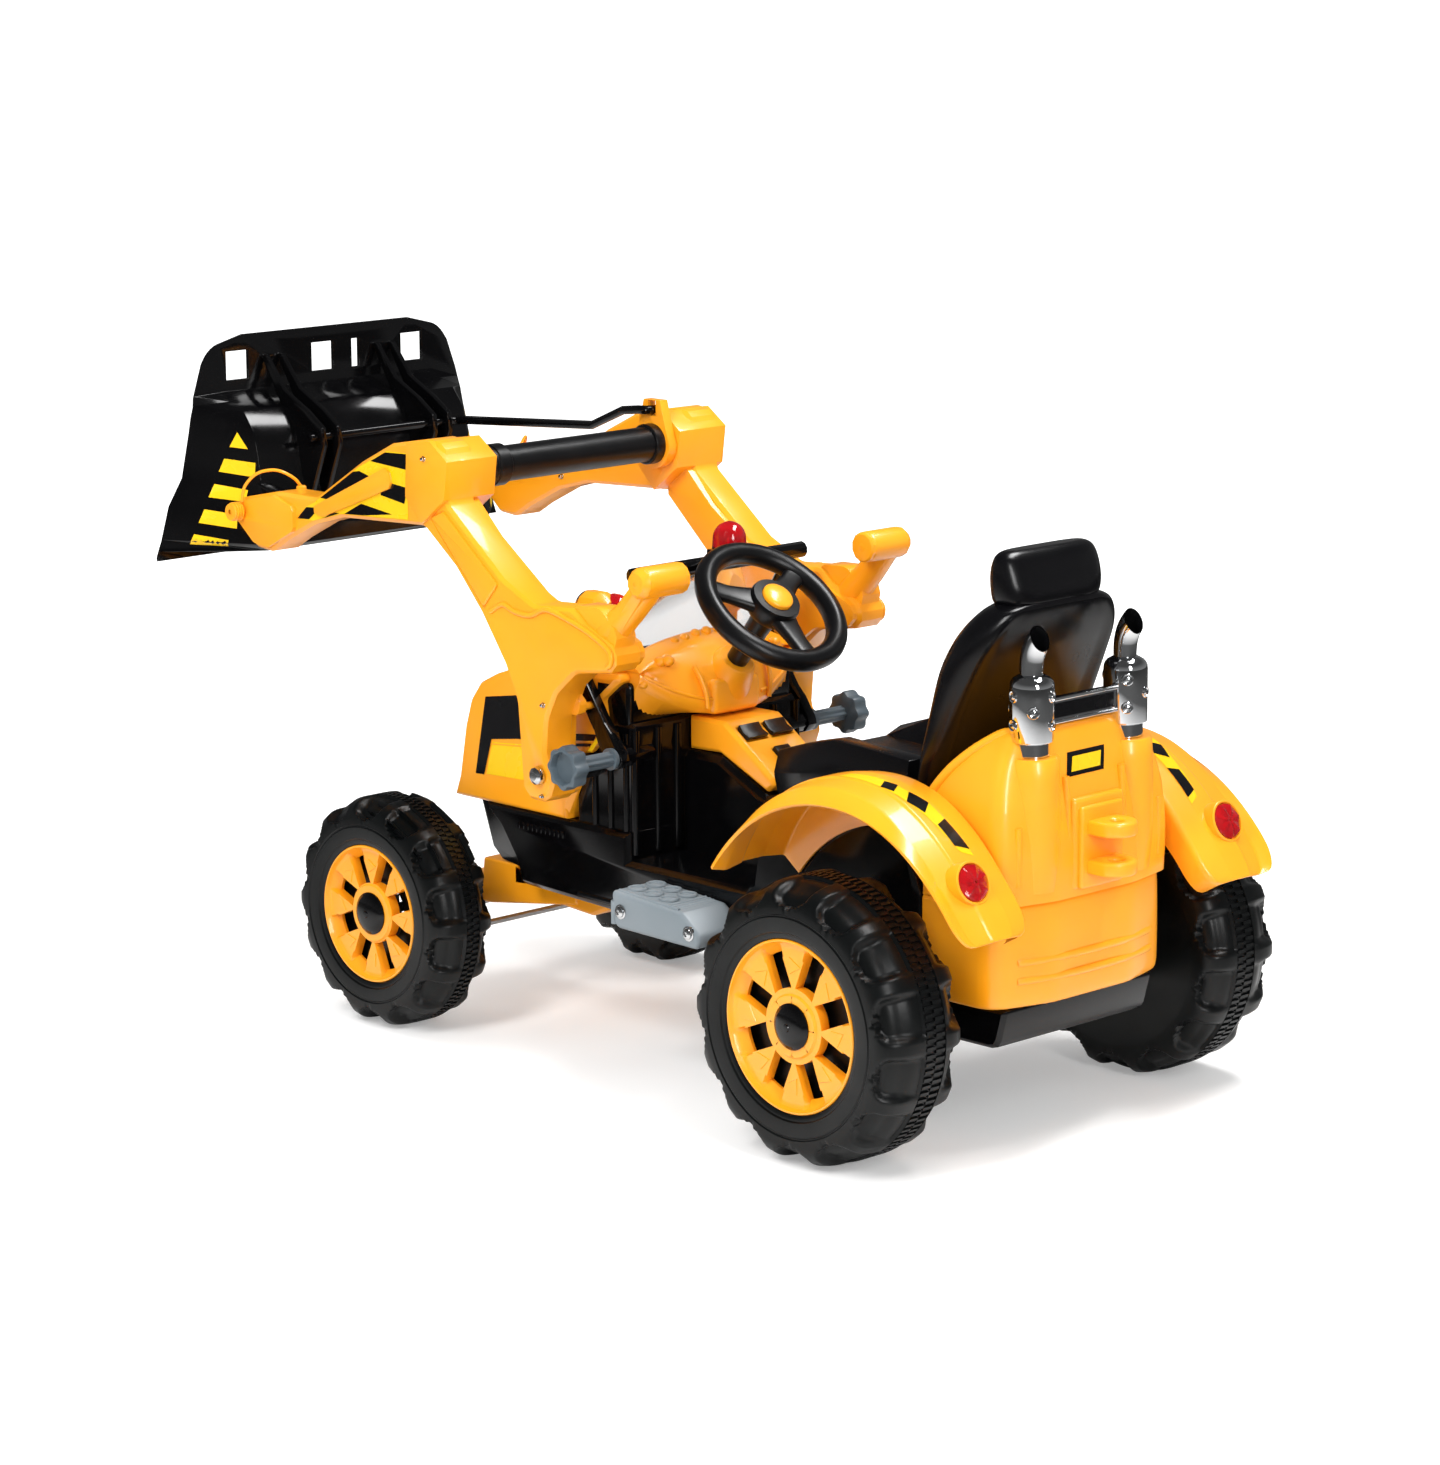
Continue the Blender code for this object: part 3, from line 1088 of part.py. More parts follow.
def bucket_rim():
    """Half-width and height of the mouth's outline, level with each point of the profile."""
    return [(0.186, 0.757), (0.206, 0.702), (0.209, 0.691), (0.213, 0.678), (0.217, 0.658), (0.223, 0.632),
            (0.229, 0.606), (0.250, 0.574), (0.262, 0.535), (0.266, 0.521), (0.270, 0.509)]


def bucket():
    bm = bmesh.new()
    columns = []
    profile = bucket_profile()
    rim_line = bucket_rim()
    for side in (1, -1):
        columns.append([bm.verts.new((side * x, MOUTH_Y, z)) for x, z in rim_line])
        columns.append([bm.verts.new((side * (0.130 if i == 0 else BUCKET_HALF), y, z))
                        for i, (y, z) in enumerate(profile)])
    left_rim, left, right_rim, right = columns
    for first, second in ((left_rim, left), (left, right), (right, right_rim)):
        for i in range(len(profile) - 1):
            corners = (first[i], first[i + 1], second[i + 1], second[i])
            bm.faces.new(corners)
    bmesh.ops.recalc_face_normals(bm, faces=bm.faces)
    middle = [f for f in bm.faces if abs(f.calc_center_median().x) < 0.01]
    if sum(f.normal.y for f in middle) < 0:
        bmesh.ops.reverse_faces(bm, faces=bm.faces)
    shell = solid("bucket", bm, BLACK, (0, TIP.y, TIP.z))
    wall = shell.modifiers.new("wall", "SOLIDIFY")
    wall.thickness = BUCKET_WALL
    wall.offset = -1
    wall.use_even_offset = True
    for x in (-0.099, -0.075, 0.075, 0.099):
        outline = [(MOUTH_Y - 0.002, 0.744), (-0.634, 0.744), (-0.600, 0.704), (-0.556, 0.682), (-0.528, 0.664),
                   (-0.526, 0.642), (-0.562, 0.556), (-0.576, 0.620), (-0.602, 0.682)]
        join(shell, prism(outline, x - 0.0035, x + 0.0035, "x"))
    for side in (LEFT, RIGHT):
        outline = [(-0.574, 0.600)] + circle((TIP.y, TIP.z), 0.0165, 5, 80, -100) + [(-0.552, 0.548), (-0.566, 0.560)]
        join(shell, mirrored(prism(outline, EAR_INNER, TIP_INNER - RUN, "x"), side))
    for x, width in ((0.140, 0.034), (0.008, 0.034), (-0.044, 0.012), (-0.134, 0.034)):
        cut(shell, block((x - width / 2, MOUTH_Y - 0.02, 0.717), (x + width / 2, MOUTH_Y + 0.02, 0.752)))
    cut(shell, rod((-0.11, TUBE_Y, TUBE_Z), (0.11, TUBE_Y, TUBE_Z), ROD_RADIUS + SPIN_GAP, 8))
    for side in (LEFT, RIGHT):
        cut(shell, mirrored(rod((EAR_INNER - 0.01, TIP.y, TIP.z), (TIP_INNER, TIP.y, TIP.z), PIN_RADIUS + SPIN_GAP, 10), side))


def tilt_rod():
    """Cross bar in the bucket's lugs, bent back to the rocker on the right elbow."""
    end_y = ELBOW.y
    end_z = ELBOW.z + ROCKER_LEVER
    route = [(0.112, TUBE_Y, TUBE_Z), (-ROD_X + 0.012, TUBE_Y, TUBE_Z), (-ROD_X + 0.002, TUBE_Y + 0.003, TUBE_Z),
             (-ROD_X, TUBE_Y + 0.012, TUBE_Z + 0.001), (-ROD_X, -0.290, 0.668), (-ROD_X, -0.235, end_z - 0.003),
             (-ROD_X, end_y - 0.012, end_z), (-ROD_X - 0.002, end_y - 0.003, end_z), (-ROD_X - 0.010, end_y, end_z),
             (-ELBOW_INNER + 0.002, end_y, end_z)]
    solid("tilt_rod", swept(route, ROD_RADIUS, 8), BLACK, (0, TUBE_Y, TUBE_Z))


def rocker_disc():
    """Slotted plate that swings on the cross tube with the bucket."""
    outer = ELBOW_INNER - 0.001
    outline = circle((ELBOW.y, ELBOW.z), 0.030, 10, 180, 360)
    outline += [(ELBOW.y + 0.020, ELBOW.z + 0.030), (ELBOW.y + 0.014, ELBOW.z + ROCKER_LEVER + 0.012),
                (ELBOW.y - 0.014, ELBOW.z + ROCKER_LEVER + 0.012), (ELBOW.y - 0.020, ELBOW.z + 0.030)]
    disc = solid("rocker_disc", prism(outline, -outer, -ROCKER_INNER - 0.001, "x"), YELLOW, (-outer, ELBOW.y, ELBOW.z))
    cut(disc, rod((-outer - 0.01, ELBOW.y, ELBOW.z), (-ROCKER_INNER + 0.01, ELBOW.y, ELBOW.z), CROSS_RADIUS + SPIN_GAP, 16))
    slot = ROD_RADIUS + RUN
    cut(disc, block((-outer - 0.01, ELBOW.y - slot, ELBOW.z + ROCKER_LEVER - slot),
                    (-ROCKER_INNER + 0.01, ELBOW.y + slot, ELBOW.z + ROCKER_LEVER + slot + 0.0045)))


def stays():
    """Slotted levers between the clamp knobs and the booms."""
    pin = Vector((0.0, STAY_PIN_Y - KNOB_Y, STAY_PIN_Z - KNOB_Z))
    along = pin.normalized()
    across = Vector((0, along.z, -along.y))
    eye = Vector((0, KNOB_Y, KNOB_Z))
    for hand, side in (("left", LEFT), ("right", RIGHT)):
        corners = []
        for s, w, r in ((-0.013, STAY_HALF + 0.003, 0.012), (0.025, STAY_HALF + 0.003, 0.01), (0.040, STAY_HALF, 0.01),
                        (STAY_REACH + 0.010, STAY_HALF, 0.009), (STAY_REACH + 0.010, -STAY_HALF, 0.009),
                        (0.040, -STAY_HALF, 0.01), (0.025, -STAY_HALF - 0.003, 0.01), (-0.013, -STAY_HALF - 0.003, 0.012)):
            spot = eye + along * s + across * w
            corners.append((spot.y, spot.z, r))
        lever = solid(f"stay_{hand}", mirrored(prism(rounded(corners, 2), STAY_INNER, STAY_OUTER), side), BLACK,
                      (side * STAY_INNER, KNOB_Y, KNOB_Z))
        half = STAY_PIN + STAY_PLAY
        start, end = pin.length - half - 0.001, STAY_REACH
        corners = [eye + along * s + across * w for s, w in ((start, half), (end, half), (end, -half), (start, -half))]
        cut(lever, mirrored(prism([(p.y, p.z) for p in corners], STAY_INNER - 0.01, STAY_OUTER + 0.01, "x"), side))
        cut(lever, mirrored(rod((STAY_INNER - 0.01, KNOB_Y, KNOB_Z), (STAY_OUTER + 0.01, KNOB_Y, KNOB_Z),
                                KNOB_STEM + SPIN_GAP, 10), side))


def knobs():
    """Star knobs on fluted rods that clamp the stays."""
    for hand, side in (("left", LEFT), ("right", RIGHT)):
        start = STAY_OUTER + RUN
        profile = [(PEDESTAL_HALF - 0.010, KNOB_STEM), (start, KNOB_STEM), (start, 0.010), (start + 0.006, 0.008), (0.214, 0.008)]
        obj = solid(f"knob_{hand}", mirrored(turned(profile, (0, KNOB_Y, KNOB_Z), X_AXIS, 10), side), KNOB_GREY,
                    (side * 0.2228, KNOB_Y, KNOB_Z))
        star = []
        for i in range(KNOB_LOBES * 4):
            angle = 2 * math.pi * i / (KNOB_LOBES * 4)
            radius = KNOB_RADIUS * (0.88 + 0.12 * math.cos(KNOB_LOBES * angle))
            star.append((KNOB_Y + radius * math.cos(angle), KNOB_Z + radius * math.sin(angle)))
        join(obj, mirrored(prism(star, 0.2125, 0.2315), side))


clear_scene()
vehicle = make_vehicle()
wheels()
rear_axle()
gearmotor()
chassis_shell()
rear_under_panel()
battery()
hood()
front_skid()
front_axle_beam()
console()
switches()
accelerator_pedal()
dash_panel()
windscreen()
beacon()
seat_pan()
seat_back()
rear_cowl()
rear_bumper()
tow_hitch()
fenders()
tail_lights()
exhaust_stacks()
footsteps()
pivot_bolts()
steering_wheel()
horn_button()
knuckles()
tie_rod()
boom("left", LEFT)
boom("right", RIGHT)
cross_tube()
boom_pins()
bucket()
tilt_rod()
rocker_disc()
stays()
knobs()
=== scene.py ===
"""Ride-on loader: the finished look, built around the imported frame."""

import json
import math

import bmesh
import bpy
from mathutils import Matrix, Vector
from mathutils.bvhtree import BVHTree


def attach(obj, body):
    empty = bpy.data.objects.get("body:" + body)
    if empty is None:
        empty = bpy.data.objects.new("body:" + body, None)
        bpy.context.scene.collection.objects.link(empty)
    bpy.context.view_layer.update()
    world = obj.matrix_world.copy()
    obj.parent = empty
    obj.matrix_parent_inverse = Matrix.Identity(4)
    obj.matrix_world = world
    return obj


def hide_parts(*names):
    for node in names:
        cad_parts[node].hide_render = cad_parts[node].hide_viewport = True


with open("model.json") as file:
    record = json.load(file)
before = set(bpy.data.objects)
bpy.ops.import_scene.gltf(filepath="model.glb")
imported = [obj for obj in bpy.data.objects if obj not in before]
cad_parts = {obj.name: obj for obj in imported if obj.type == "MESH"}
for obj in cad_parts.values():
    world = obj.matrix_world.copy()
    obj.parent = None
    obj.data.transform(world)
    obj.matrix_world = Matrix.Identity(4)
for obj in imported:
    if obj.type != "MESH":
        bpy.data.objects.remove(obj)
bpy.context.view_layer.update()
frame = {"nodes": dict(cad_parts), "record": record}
nodes = frame["nodes"]
record = frame["record"]
body_of = {node: body for body, names in record["behaviour"]["bodies"].items() for node in names}
slot_of = {part["node"]: part["material_slot"] for part in record["subparts"]}

X_AXIS = Vector((1.0, 0.0, 0.0))
Y_AXIS = Vector((0.0, 1.0, 0.0))
Z_AXIS = Vector((0.0, 0.0, 1.0))
LEFT = 1
RIGHT = -1
SIDES = (("left", LEFT), ("right", RIGHT))


# Colour and shader helpers

NOISE_LOW, NOISE_HIGH = 0.3, 0.7    # the band in which a noise texture really varies
COLOUR_DRIFT = 9.0                  # patches about 110 mm across
GLOSS_DRIFT = 22.0                  # patches about 45 mm across
METAL_DRIFT = 40.0                  # patches about 25 mm across


def colour(code):
    """A colour as it is written on a chart, in the values that a shader works with."""
    channels = []
    for i in (0, 2, 4):
        value = int(code[i:i + 2], 16) / 255
        channels.append(value / 12.92 if value <= 0.04045 else ((value + 0.055) / 1.055) ** 2.4)
    return (*channels, 1.0)


def add(tree, kind, inputs=None, **settings):
    """One shader node, with its settings, values and links."""
    node = tree.nodes.new("ShaderNode" + kind)
    for key, value in settings.items():
        setattr(node, key, value)
    for key, value in (inputs or {}).items():
        if isinstance(value, bpy.types.NodeSocket):
            tree.links.new(value, node.inputs[key])
        else:
            node.inputs[key].default_value = value
    return node


def new_material(name):
    """A material, its node tree and its main shader."""
    mat = bpy.data.materials.new(name)
    mat.use_nodes = True
    return mat, mat.node_tree, mat.node_tree.nodes["Principled BSDF"]


def object_coords(tree):
    """Coordinates in metres that stay with the piece."""
    return add(tree, "TexCoord").outputs["Object"]


def mottled(tree, coords, dark, light, scale):
    """Slow drift between two near colours, as pigment settles in a moulding."""
    noise = add(tree, "TexNoise", {"Vector": coords, "Scale": scale, "Detail": 2.0})
    ramp = add(tree, "MapRange", {"Value": noise.outputs["Fac"], "From Min": NOISE_LOW, "From Max": NOISE_HIGH})
    return add(tree, "Mix", {"Factor": ramp.outputs["Result"], "A": colour(dark), "B": colour(light)},
               data_type="RGBA").outputs["Result"]


def varied(tree, coords, low, high, scale):
    """Gloss that differs a little from patch to patch."""
    noise = add(tree, "TexNoise", {"Vector": coords, "Scale": scale, "Detail": 3.0})
    return add(tree, "MapRange", {"Value": noise.outputs["Fac"], "From Min": NOISE_LOW, "From Max": NOISE_HIGH,
                                  "To Min": low, "To Max": high}).outputs["Result"]


def grain(tree, coords, size_mm, depth_mm):
    """Surface grain of a mould, from its size and depth."""
    noise = add(tree, "TexNoise", {"Vector": coords, "Scale": 1000.0 / size_mm, "Detail": 2.0})
    return add(tree, "Bump", {"Height": noise.outputs["Fac"], "Distance": depth_mm / 1000.0,
                              "Strength": 1.0}).outputs["Normal"]


def moulded(name, dark, light, gloss, grain_mm, depth_mm, skin_gloss=0.0, sheen=0.5):
    """Moulded plastic: drifting colour, patchy gloss and the fine skin that the tool leaves."""
    mat, tree, shader = new_material(name)
    coords = object_coords(tree)
    shader.inputs["Specular IOR Level"].default_value = sheen
    shader.inputs["Coat Weight"].default_value = skin_gloss
    shader.inputs["Coat Roughness"].default_value = 0.05
    tree.links.new(mottled(tree, coords, dark, light, COLOUR_DRIFT), shader.inputs["Base Color"])
    tree.links.new(varied(tree, coords, gloss[0], gloss[1], GLOSS_DRIFT), shader.inputs["Roughness"])
    tree.links.new(grain(tree, coords, grain_mm, depth_mm), shader.inputs["Normal"])
    return mat


def metal(name, tint, rough, grain_mm, depth_mm):
    """Metal or metal plating, with a faint waviness in what it reflects."""
    mat, tree, shader = new_material(name)
    coords = object_coords(tree)
    shader.inputs["Base Color"].default_value = colour(tint)
    shader.inputs["Metallic"].default_value = 1.0
    tree.links.new(varied(tree, coords, rough[0], rough[1], METAL_DRIFT), shader.inputs["Roughness"])
    tree.links.new(grain(tree, coords, grain_mm, depth_mm), shader.inputs["Normal"])
    return mat


def clear_red(name):
    """Tinted clear plastic with the ripple that scatters a lamp's light."""
    mat, tree, shader = new_material(name)
    coords = object_coords(tree)
    tree.links.new(mottled(tree, coords, "A50F16", "C4161D", 60.0), shader.inputs["Base Color"])
    shader.inputs["Roughness"].default_value = 0.08
    shader.inputs["Transmission Weight"].default_value = 0.25
    shader.inputs["Coat Weight"].default_value = 0.6
    shader.inputs["Coat Roughness"].default_value = 0.03
    tree.links.new(grain(tree, coords, 4.0, 0.25), shader.inputs["Normal"])
    return mat


def clear_sheet(name):
    """Thin clear sheet, a little hazy from handling."""
    mat, tree, shader = new_material(name)
    coords = object_coords(tree)
    shader.inputs["Base Color"].default_value = colour("F2F5F6")
    tree.links.new(varied(tree, coords, 0.02, 0.10, 30.0), shader.inputs["Roughness"])
    shader.inputs["Transmission Weight"].default_value = 0.92
    shader.inputs["IOR"].default_value = 1.2
    return mat


# A mould's grain is 0.1 to 0.3 mm across and a plated or drawn surface is finer still, too fine to show here, so each
# is drawn at the coarser size that its line gives.
FINISHES = {
    # Blow-moulded polyethylene: a near-black wheel with broad, soft highlights on its scoops.
    "tyre": moulded("satin_black_tyre_plastic", "060808", "0A0C0D", gloss=(0.30, 0.40), grain_mm=1.2, depth_mm=0.03,
                    sheen=0.30),
    # Blow-moulded polyethylene with a thin glossy skin: a warm yellow that keeps its colour under clear highlights.
    "yellow_shell": moulded("semi_gloss_yellow_polyethylene", "FC9F12", "FDA61E", gloss=(0.28, 0.38), grain_mm=1.6,
                            depth_mm=0.010, skin_gloss=0.40),
    # Polypropylene from a polished mould: deep black with sharp reflections, on tub, bucket and hub caps.
    "black_shell": moulded("gloss_black_polypropylene", "040405", "070708", gloss=(0.10, 0.18), grain_mm=1.6,
                           depth_mm=0.010, sheen=0.36),
    # Polypropylene from an etched mould: the softer black of steering wheel, cross tube and switches.
    "black_trim": moulded("satin_black_polypropylene", "070708", "0B0B0D", gloss=(0.28, 0.38), grain_mm=0.8,
                          depth_mm=0.02, sheen=0.38),
    # Blow-moulded polyethylene rubbed smooth by use: black with a wide bright sheen on the seat's rolls.
    "seat_moulding": moulded("semi_gloss_black_seat_plastic", "060608", "09090B", gloss=(0.20, 0.28), grain_mm=1.4,
                             depth_mm=0.02, sheen=0.35),
    # Filled polypropylene: the dull, cool grey of footsteps and pedal.
    "grey_moulding": moulded("satin_grey_polypropylene", "7C868C", "868F95", gloss=(0.34, 0.44), grain_mm=1.2,
                             depth_mm=0.02),
    # Filled polypropylene, darker and bluer: the turning knobs.
    "knob_moulding": moulded("satin_slate_polypropylene", "4C5860", "56626A", gloss=(0.36, 0.46), grain_mm=1.0,
                             depth_mm=0.02),
    # Chrome over ABS: mirror-bright, with the slight waves of the plastic under it.
    "plated_plastic": metal("chrome_plated_plastic", "E4E6E8", rough=(0.04, 0.09), grain_mm=6.0, depth_mm=0.02),
    # Bright zinc over steel: a clean, slightly blurred shine on bolts and screws.
    "bolt_steel": metal("zinc_plated_steel", "D0D2D4", rough=(0.14, 0.24), grain_mm=1.0, depth_mm=0.005),
    # Bare drawn bar: a duller, greyer metal on axles, knuckles and tie rod.
    "axle_steel": metal("drawn_steel", "A8AAAC", rough=(0.28, 0.40), grain_mm=0.5, depth_mm=0.005),
    # Tinted acrylic with a ripple about 4 mm across: deep red that glows a little where light passes.
    "lens_red": clear_red("clear_red_lens_plastic"),
    # Cut acrylic sheet: nearly invisible, seen by its reflections and a faint haze.
    "clear_pane": clear_sheet("clear_acrylic_sheet"),
    # Printed vinyl under a clear layer: flat black and lemon patches, smoother than the plastic that they lie on.
    "label_black": moulded("gloss_black_vinyl_film", "08080A", "0B0B0E", gloss=(0.20, 0.28), grain_mm=3.0,
                           depth_mm=0.01),
    "label_lemon": moulded("gloss_lemon_vinyl_film", "F0C00C", "F3C614", gloss=(0.22, 0.30), grain_mm=3.0,
                           depth_mm=0.01),
}


# Geometry helpers

def piece(name, bm, body, slot, replaced=(), angle=32.0):
    """A finished piece: smooth-shaded up to the given angle, with its finish, on its body."""
    mesh = bpy.data.meshes.new(name)
    bm.to_mesh(mesh)
    bm.free()
    mesh.shade_smooth()
    mesh.set_sharp_from_angle(angle=math.radians(angle))
    obj = bpy.data.objects.new(name, mesh)
    bpy.context.scene.collection.objects.link(obj)
    mesh.materials.append(FINISHES[slot])
    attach(obj, body)
    if replaced:
        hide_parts(*replaced)
    return obj


DOUBLES = 0.00003
BUCKET_CORNER = Vector((0.186, 0.0, 0.750))
BUCKET_CORNER_RADIUS = 0.020
EDGE_ANGLE = math.radians(28.0)
CONSOLE_SLOT = "yellow_shell"       # the photograph shows the console in the body's yellow


def round_bucket_corners(bm):
    """Round the two top corners of the bucket's back wall, which are square in the solid."""
    corners = [e for e in bm.edges if abs(e.verts[0].co.y - e.verts[1].co.y) > 0.003
               and all(abs(abs(v.co.x) - BUCKET_CORNER.x) < 0.0005 and v.co.z > BUCKET_CORNER.z for v in e.verts)]
    bmesh.ops.bevel(bm, geom=corners, offset=BUCKET_CORNER_RADIUS, segments=6, profile=0.5, affect="EDGES",
                    material=-1, clamp_overlap=True)


def softened(node, width):
    """The node's own shape with its edges rolled over, as a mould leaves them."""
    bm = bmesh.new()
    bm.from_mesh(nodes[node].data)
    bmesh.ops.remove_doubles(bm, verts=bm.verts, dist=DOUBLES)
    bmesh.ops.dissolve_limit(bm, angle_limit=math.radians(0.6), verts=bm.verts, edges=bm.edges)
    if node == "bucket":
        round_bucket_corners(bm)
    edges = [e for e in bm.edges if e.is_manifold and e.calc_face_angle(0.0) > EDGE_ANGLE]
    bmesh.ops.bevel(bm, geom=edges, offset=width, segments=2, profile=0.5, affect="EDGES", material=-1,
                    clamp_overlap=True)
    return bm


def dressed(node, width):
    """Replace a node by its softened shape in its finish."""
    slot = CONSOLE_SLOT if node == "console" else slot_of[node]
    return piece(node + "_shape", softened(node, width), body_of[node], slot, (node,))


def flipped(bm):
    """The same shape on the other side of the middle."""
    bmesh.ops.scale(bm, vec=(-1, 1, 1), verts=bm.verts)
    bmesh.ops.reverse_faces(bm, faces=bm.faces)
    return bm


def on_side(bm, side):
    """A shape made for the left, kept there or taken to the right."""
    return flipped(bm) if side == RIGHT else bm


def box_shape(size, centre, edge=0.0, segments=3):
    """A block, with rolled edges where an edge is given."""
    bm = bmesh.new()
    bmesh.ops.create_cube(bm, size=1.0)
    bmesh.ops.scale(bm, vec=size, verts=bm.verts)
    bmesh.ops.translate(bm, vec=centre, verts=bm.verts)
    if edge:
        bmesh.ops.bevel(bm, geom=bm.edges[:], offset=edge, segments=segments, profile=0.5, affect="EDGES", material=-1)
    return bm


# Wheels

FRAME_CENTRE = 0.0135               # how far the frame's middle lies behind the part's own zero
LUGS = 14
SCOOP_SINK = 0.0092
CROWN_BAND = 0.0028
BLOCKS_PER_LUG = 8
COLUMNS_PER_LUG = 30
REAR = {"centre": Vector((0.0, 0.471 - FRAME_CENTRE, 0.1518)), "radius": 0.1518, "face": 0.311, "width": 0.116,
        "rim": 0.0932, "ridge": 0.047}
FRONT = {"centre": Vector((0.0, -0.274 - FRAME_CENTRE, 0.1351)), "radius": 0.1351, "face": 0.259, "width": 0.087,
         "rim": 0.0813, "ridge": 0.036}


def smooth(value):
    """A soft step from 0 to 1."""
    value = min(max(value, 0.0), 1.0)
    return value * value * (3 - 2 * value)


def between(low, high, steps):
    """Evenly spaced values from low to high, both included."""
    return [low + (high - low) * i / steps for i in range(steps + 1)]


def spun(profile, steps, closed=False):
    """Turn a line of (along the axis, radius) points round the X axis."""
    bm = bmesh.new()
    verts = [bm.verts.new((x, 0.0, r)) for x, r in profile]
    edges = [bm.edges.new(pair) for pair in zip(verts, verts[1:])]
    if closed:
        edges.append(bm.edges.new((verts[-1], verts[0])))
    bmesh.ops.spin(bm, geom=verts + edges, cent=(0, 0, 0), axis=X_AXIS, angle=math.tau, steps=steps, use_merge=True)
    bmesh.ops.remove_doubles(bm, verts=bm.verts, dist=0.00001)
    bmesh.ops.recalc_face_normals(bm, faces=bm.faces)
    return bm


def placed(bm, spot, axis=X_AXIS, side=LEFT):
    """Turn the X axis of a shape to another direction, move it, and mirror it for the right side."""
    turn = X_AXIS.rotation_difference(Vector(axis)).to_matrix().to_4x4()
    bmesh.ops.transform(bm, matrix=Matrix.Translation(spot) @ turn, verts=bm.verts)
    return on_side(bm, side)


def scoop_depth(along, across):
    """How far a tread scoop sinks: along runs from the wall to the crown, across from the land to its middle."""
    if along < 0.08:
        return 0.0
    width = 1.0 if along > 0.40 else math.sqrt(max(0.0, 1 - ((0.40 - along) / 0.30) ** 2))
    wall = smooth((width * 0.80 - across) / 0.26)
    floor = 1.0 if along < 0.65 else 1 - 0.62 * smooth((along - 0.65) / 0.35)
    return SCOOP_SINK * wall * floor


def shoulder(size, outward):
    """Points and inward directions from the wall's ring to the edge of the crown, on one side."""
    ring = size["rim"] + 0.45 * (size["radius"] - size["rim"])
    reach = size["ridge"] if outward > 0 else size["ridge"] * 0.72
    edge = size["face"] if outward > 0 else size["face"] - size["width"]
    points = []
    for t in between(0.0, 1.0, 18):
        swing = t * math.pi / 2
        depth = reach * (1 - math.cos(swing) ** 0.80)
        height = ring + (size["radius"] - ring) * math.sin(swing) ** 0.72
        inward = Vector((-outward * math.cos(swing * 0.9), -math.sin(swing * 0.9) - 0.25)).normalized()
        points.append((edge - outward * depth, height, t, inward))
    return points


def tyre_shape(size):
    """Tyre with a scooped shoulder on both sides and a sunken band round its crown."""
    face, rim_r, radius = size["face"], size["rim"], size["radius"]
    inner = face - size["width"]
    ring = rim_r + 0.45 * (radius - rim_r)
    outer = shoulder(size, 1)
    back = list(reversed(shoulder(size, -1)))
    wall = [(face - 0.012, rim_r - 0.0006), (face - 0.005, rim_r - 0.0002), (face - 0.0035, rim_r + 0.0016),
            (face - 0.0030, rim_r + 0.0060), (face - 0.0012, rim_r + 0.0075), (face - 0.0004, rim_r + 0.0130),
            (face, ring - 0.0035), (face - 0.0012, ring - 0.0022), (face - 0.0012, ring - 0.0012)]
    crown, band = outer[-1][0], back[0][0]
    tread = [(crown - CROWN_BAND, radius), (crown - CROWN_BAND - 0.0006, radius - 0.0026),
             (band + CROWN_BAND + 0.0006, radius - 0.0026), (band + CROWN_BAND, radius)]
    inside = [(inner, ring - 0.004), (inner + 0.004, rim_r), (inner + 0.006, 0.036), (face - 0.030, 0.034),
              (face - 0.030, rim_r - 0.0006)]
    points = [(x, r, None, None) for x, r in wall] + outer + [(x, r, None, None) for x, r in tread] + back
    points += [(x, r, None, None) for x, r in inside]
    bm = spun([(x, r) for x, r, t, inward in points], LUGS * COLUMNS_PER_LUG, closed=True)
    table = {(round(x, 5), round(r, 5)): (t, inward) for x, r, t, inward in points if t is not None}
    pitch = math.tau / LUGS
    for vert in bm.verts:
        r = math.hypot(vert.co.y, vert.co.z)
        t, inward = table.get((round(vert.co.x, 5), round(r, 5)), (None, None))
        if t is None:
            continue
        angle = math.atan2(vert.co.y, vert.co.z)
        offset = abs((angle / pitch + 0.5) % 1.0 - 0.5) * 2
        sink = scoop_depth(t, offset)
        x, radius_here = vert.co.x + inward.x * sink, r + inward.y * sink
        vert.co = Vector((x, radius_here * math.sin(angle), radius_here * math.cos(angle)))
    bmesh.ops.recalc_face_normals(bm, faces=bm.faces)
    return bm, crown - CROWN_BAND, band + CROWN_BAND


def tread_blocks(size, high, low):
    """Two rows of small blocks round the crown, each row half a pitch on from the other."""
    bm = bmesh.new()
    count = LUGS * BLOCKS_PER_LUG
    middle = (high + low) / 2
    row = (high - low) * 0.25
    length = math.tau * size["radius"] / count
    for k in range(count * 2):
        side = 1 if k % 2 else -1
        block = bmesh.ops.create_cube(bm, size=1.0)["verts"]
        bmesh.ops.scale(bm, vec=(row * 1.75, length * 0.44, 0.0028), verts=block)
        bmesh.ops.translate(bm, vec=(middle + side * row * 0.92, 0, size["radius"] - 0.0014), verts=block)
        turn = Matrix.Rotation(math.pi * k / count, 4, "X")
        bmesh.ops.transform(bm, matrix=turn, verts=block)
    return bm


SPOKES = 8
WINDOW_HALF = 0.0132
SECTOR_COLUMNS = 24
WINDOW_COLUMNS = 8


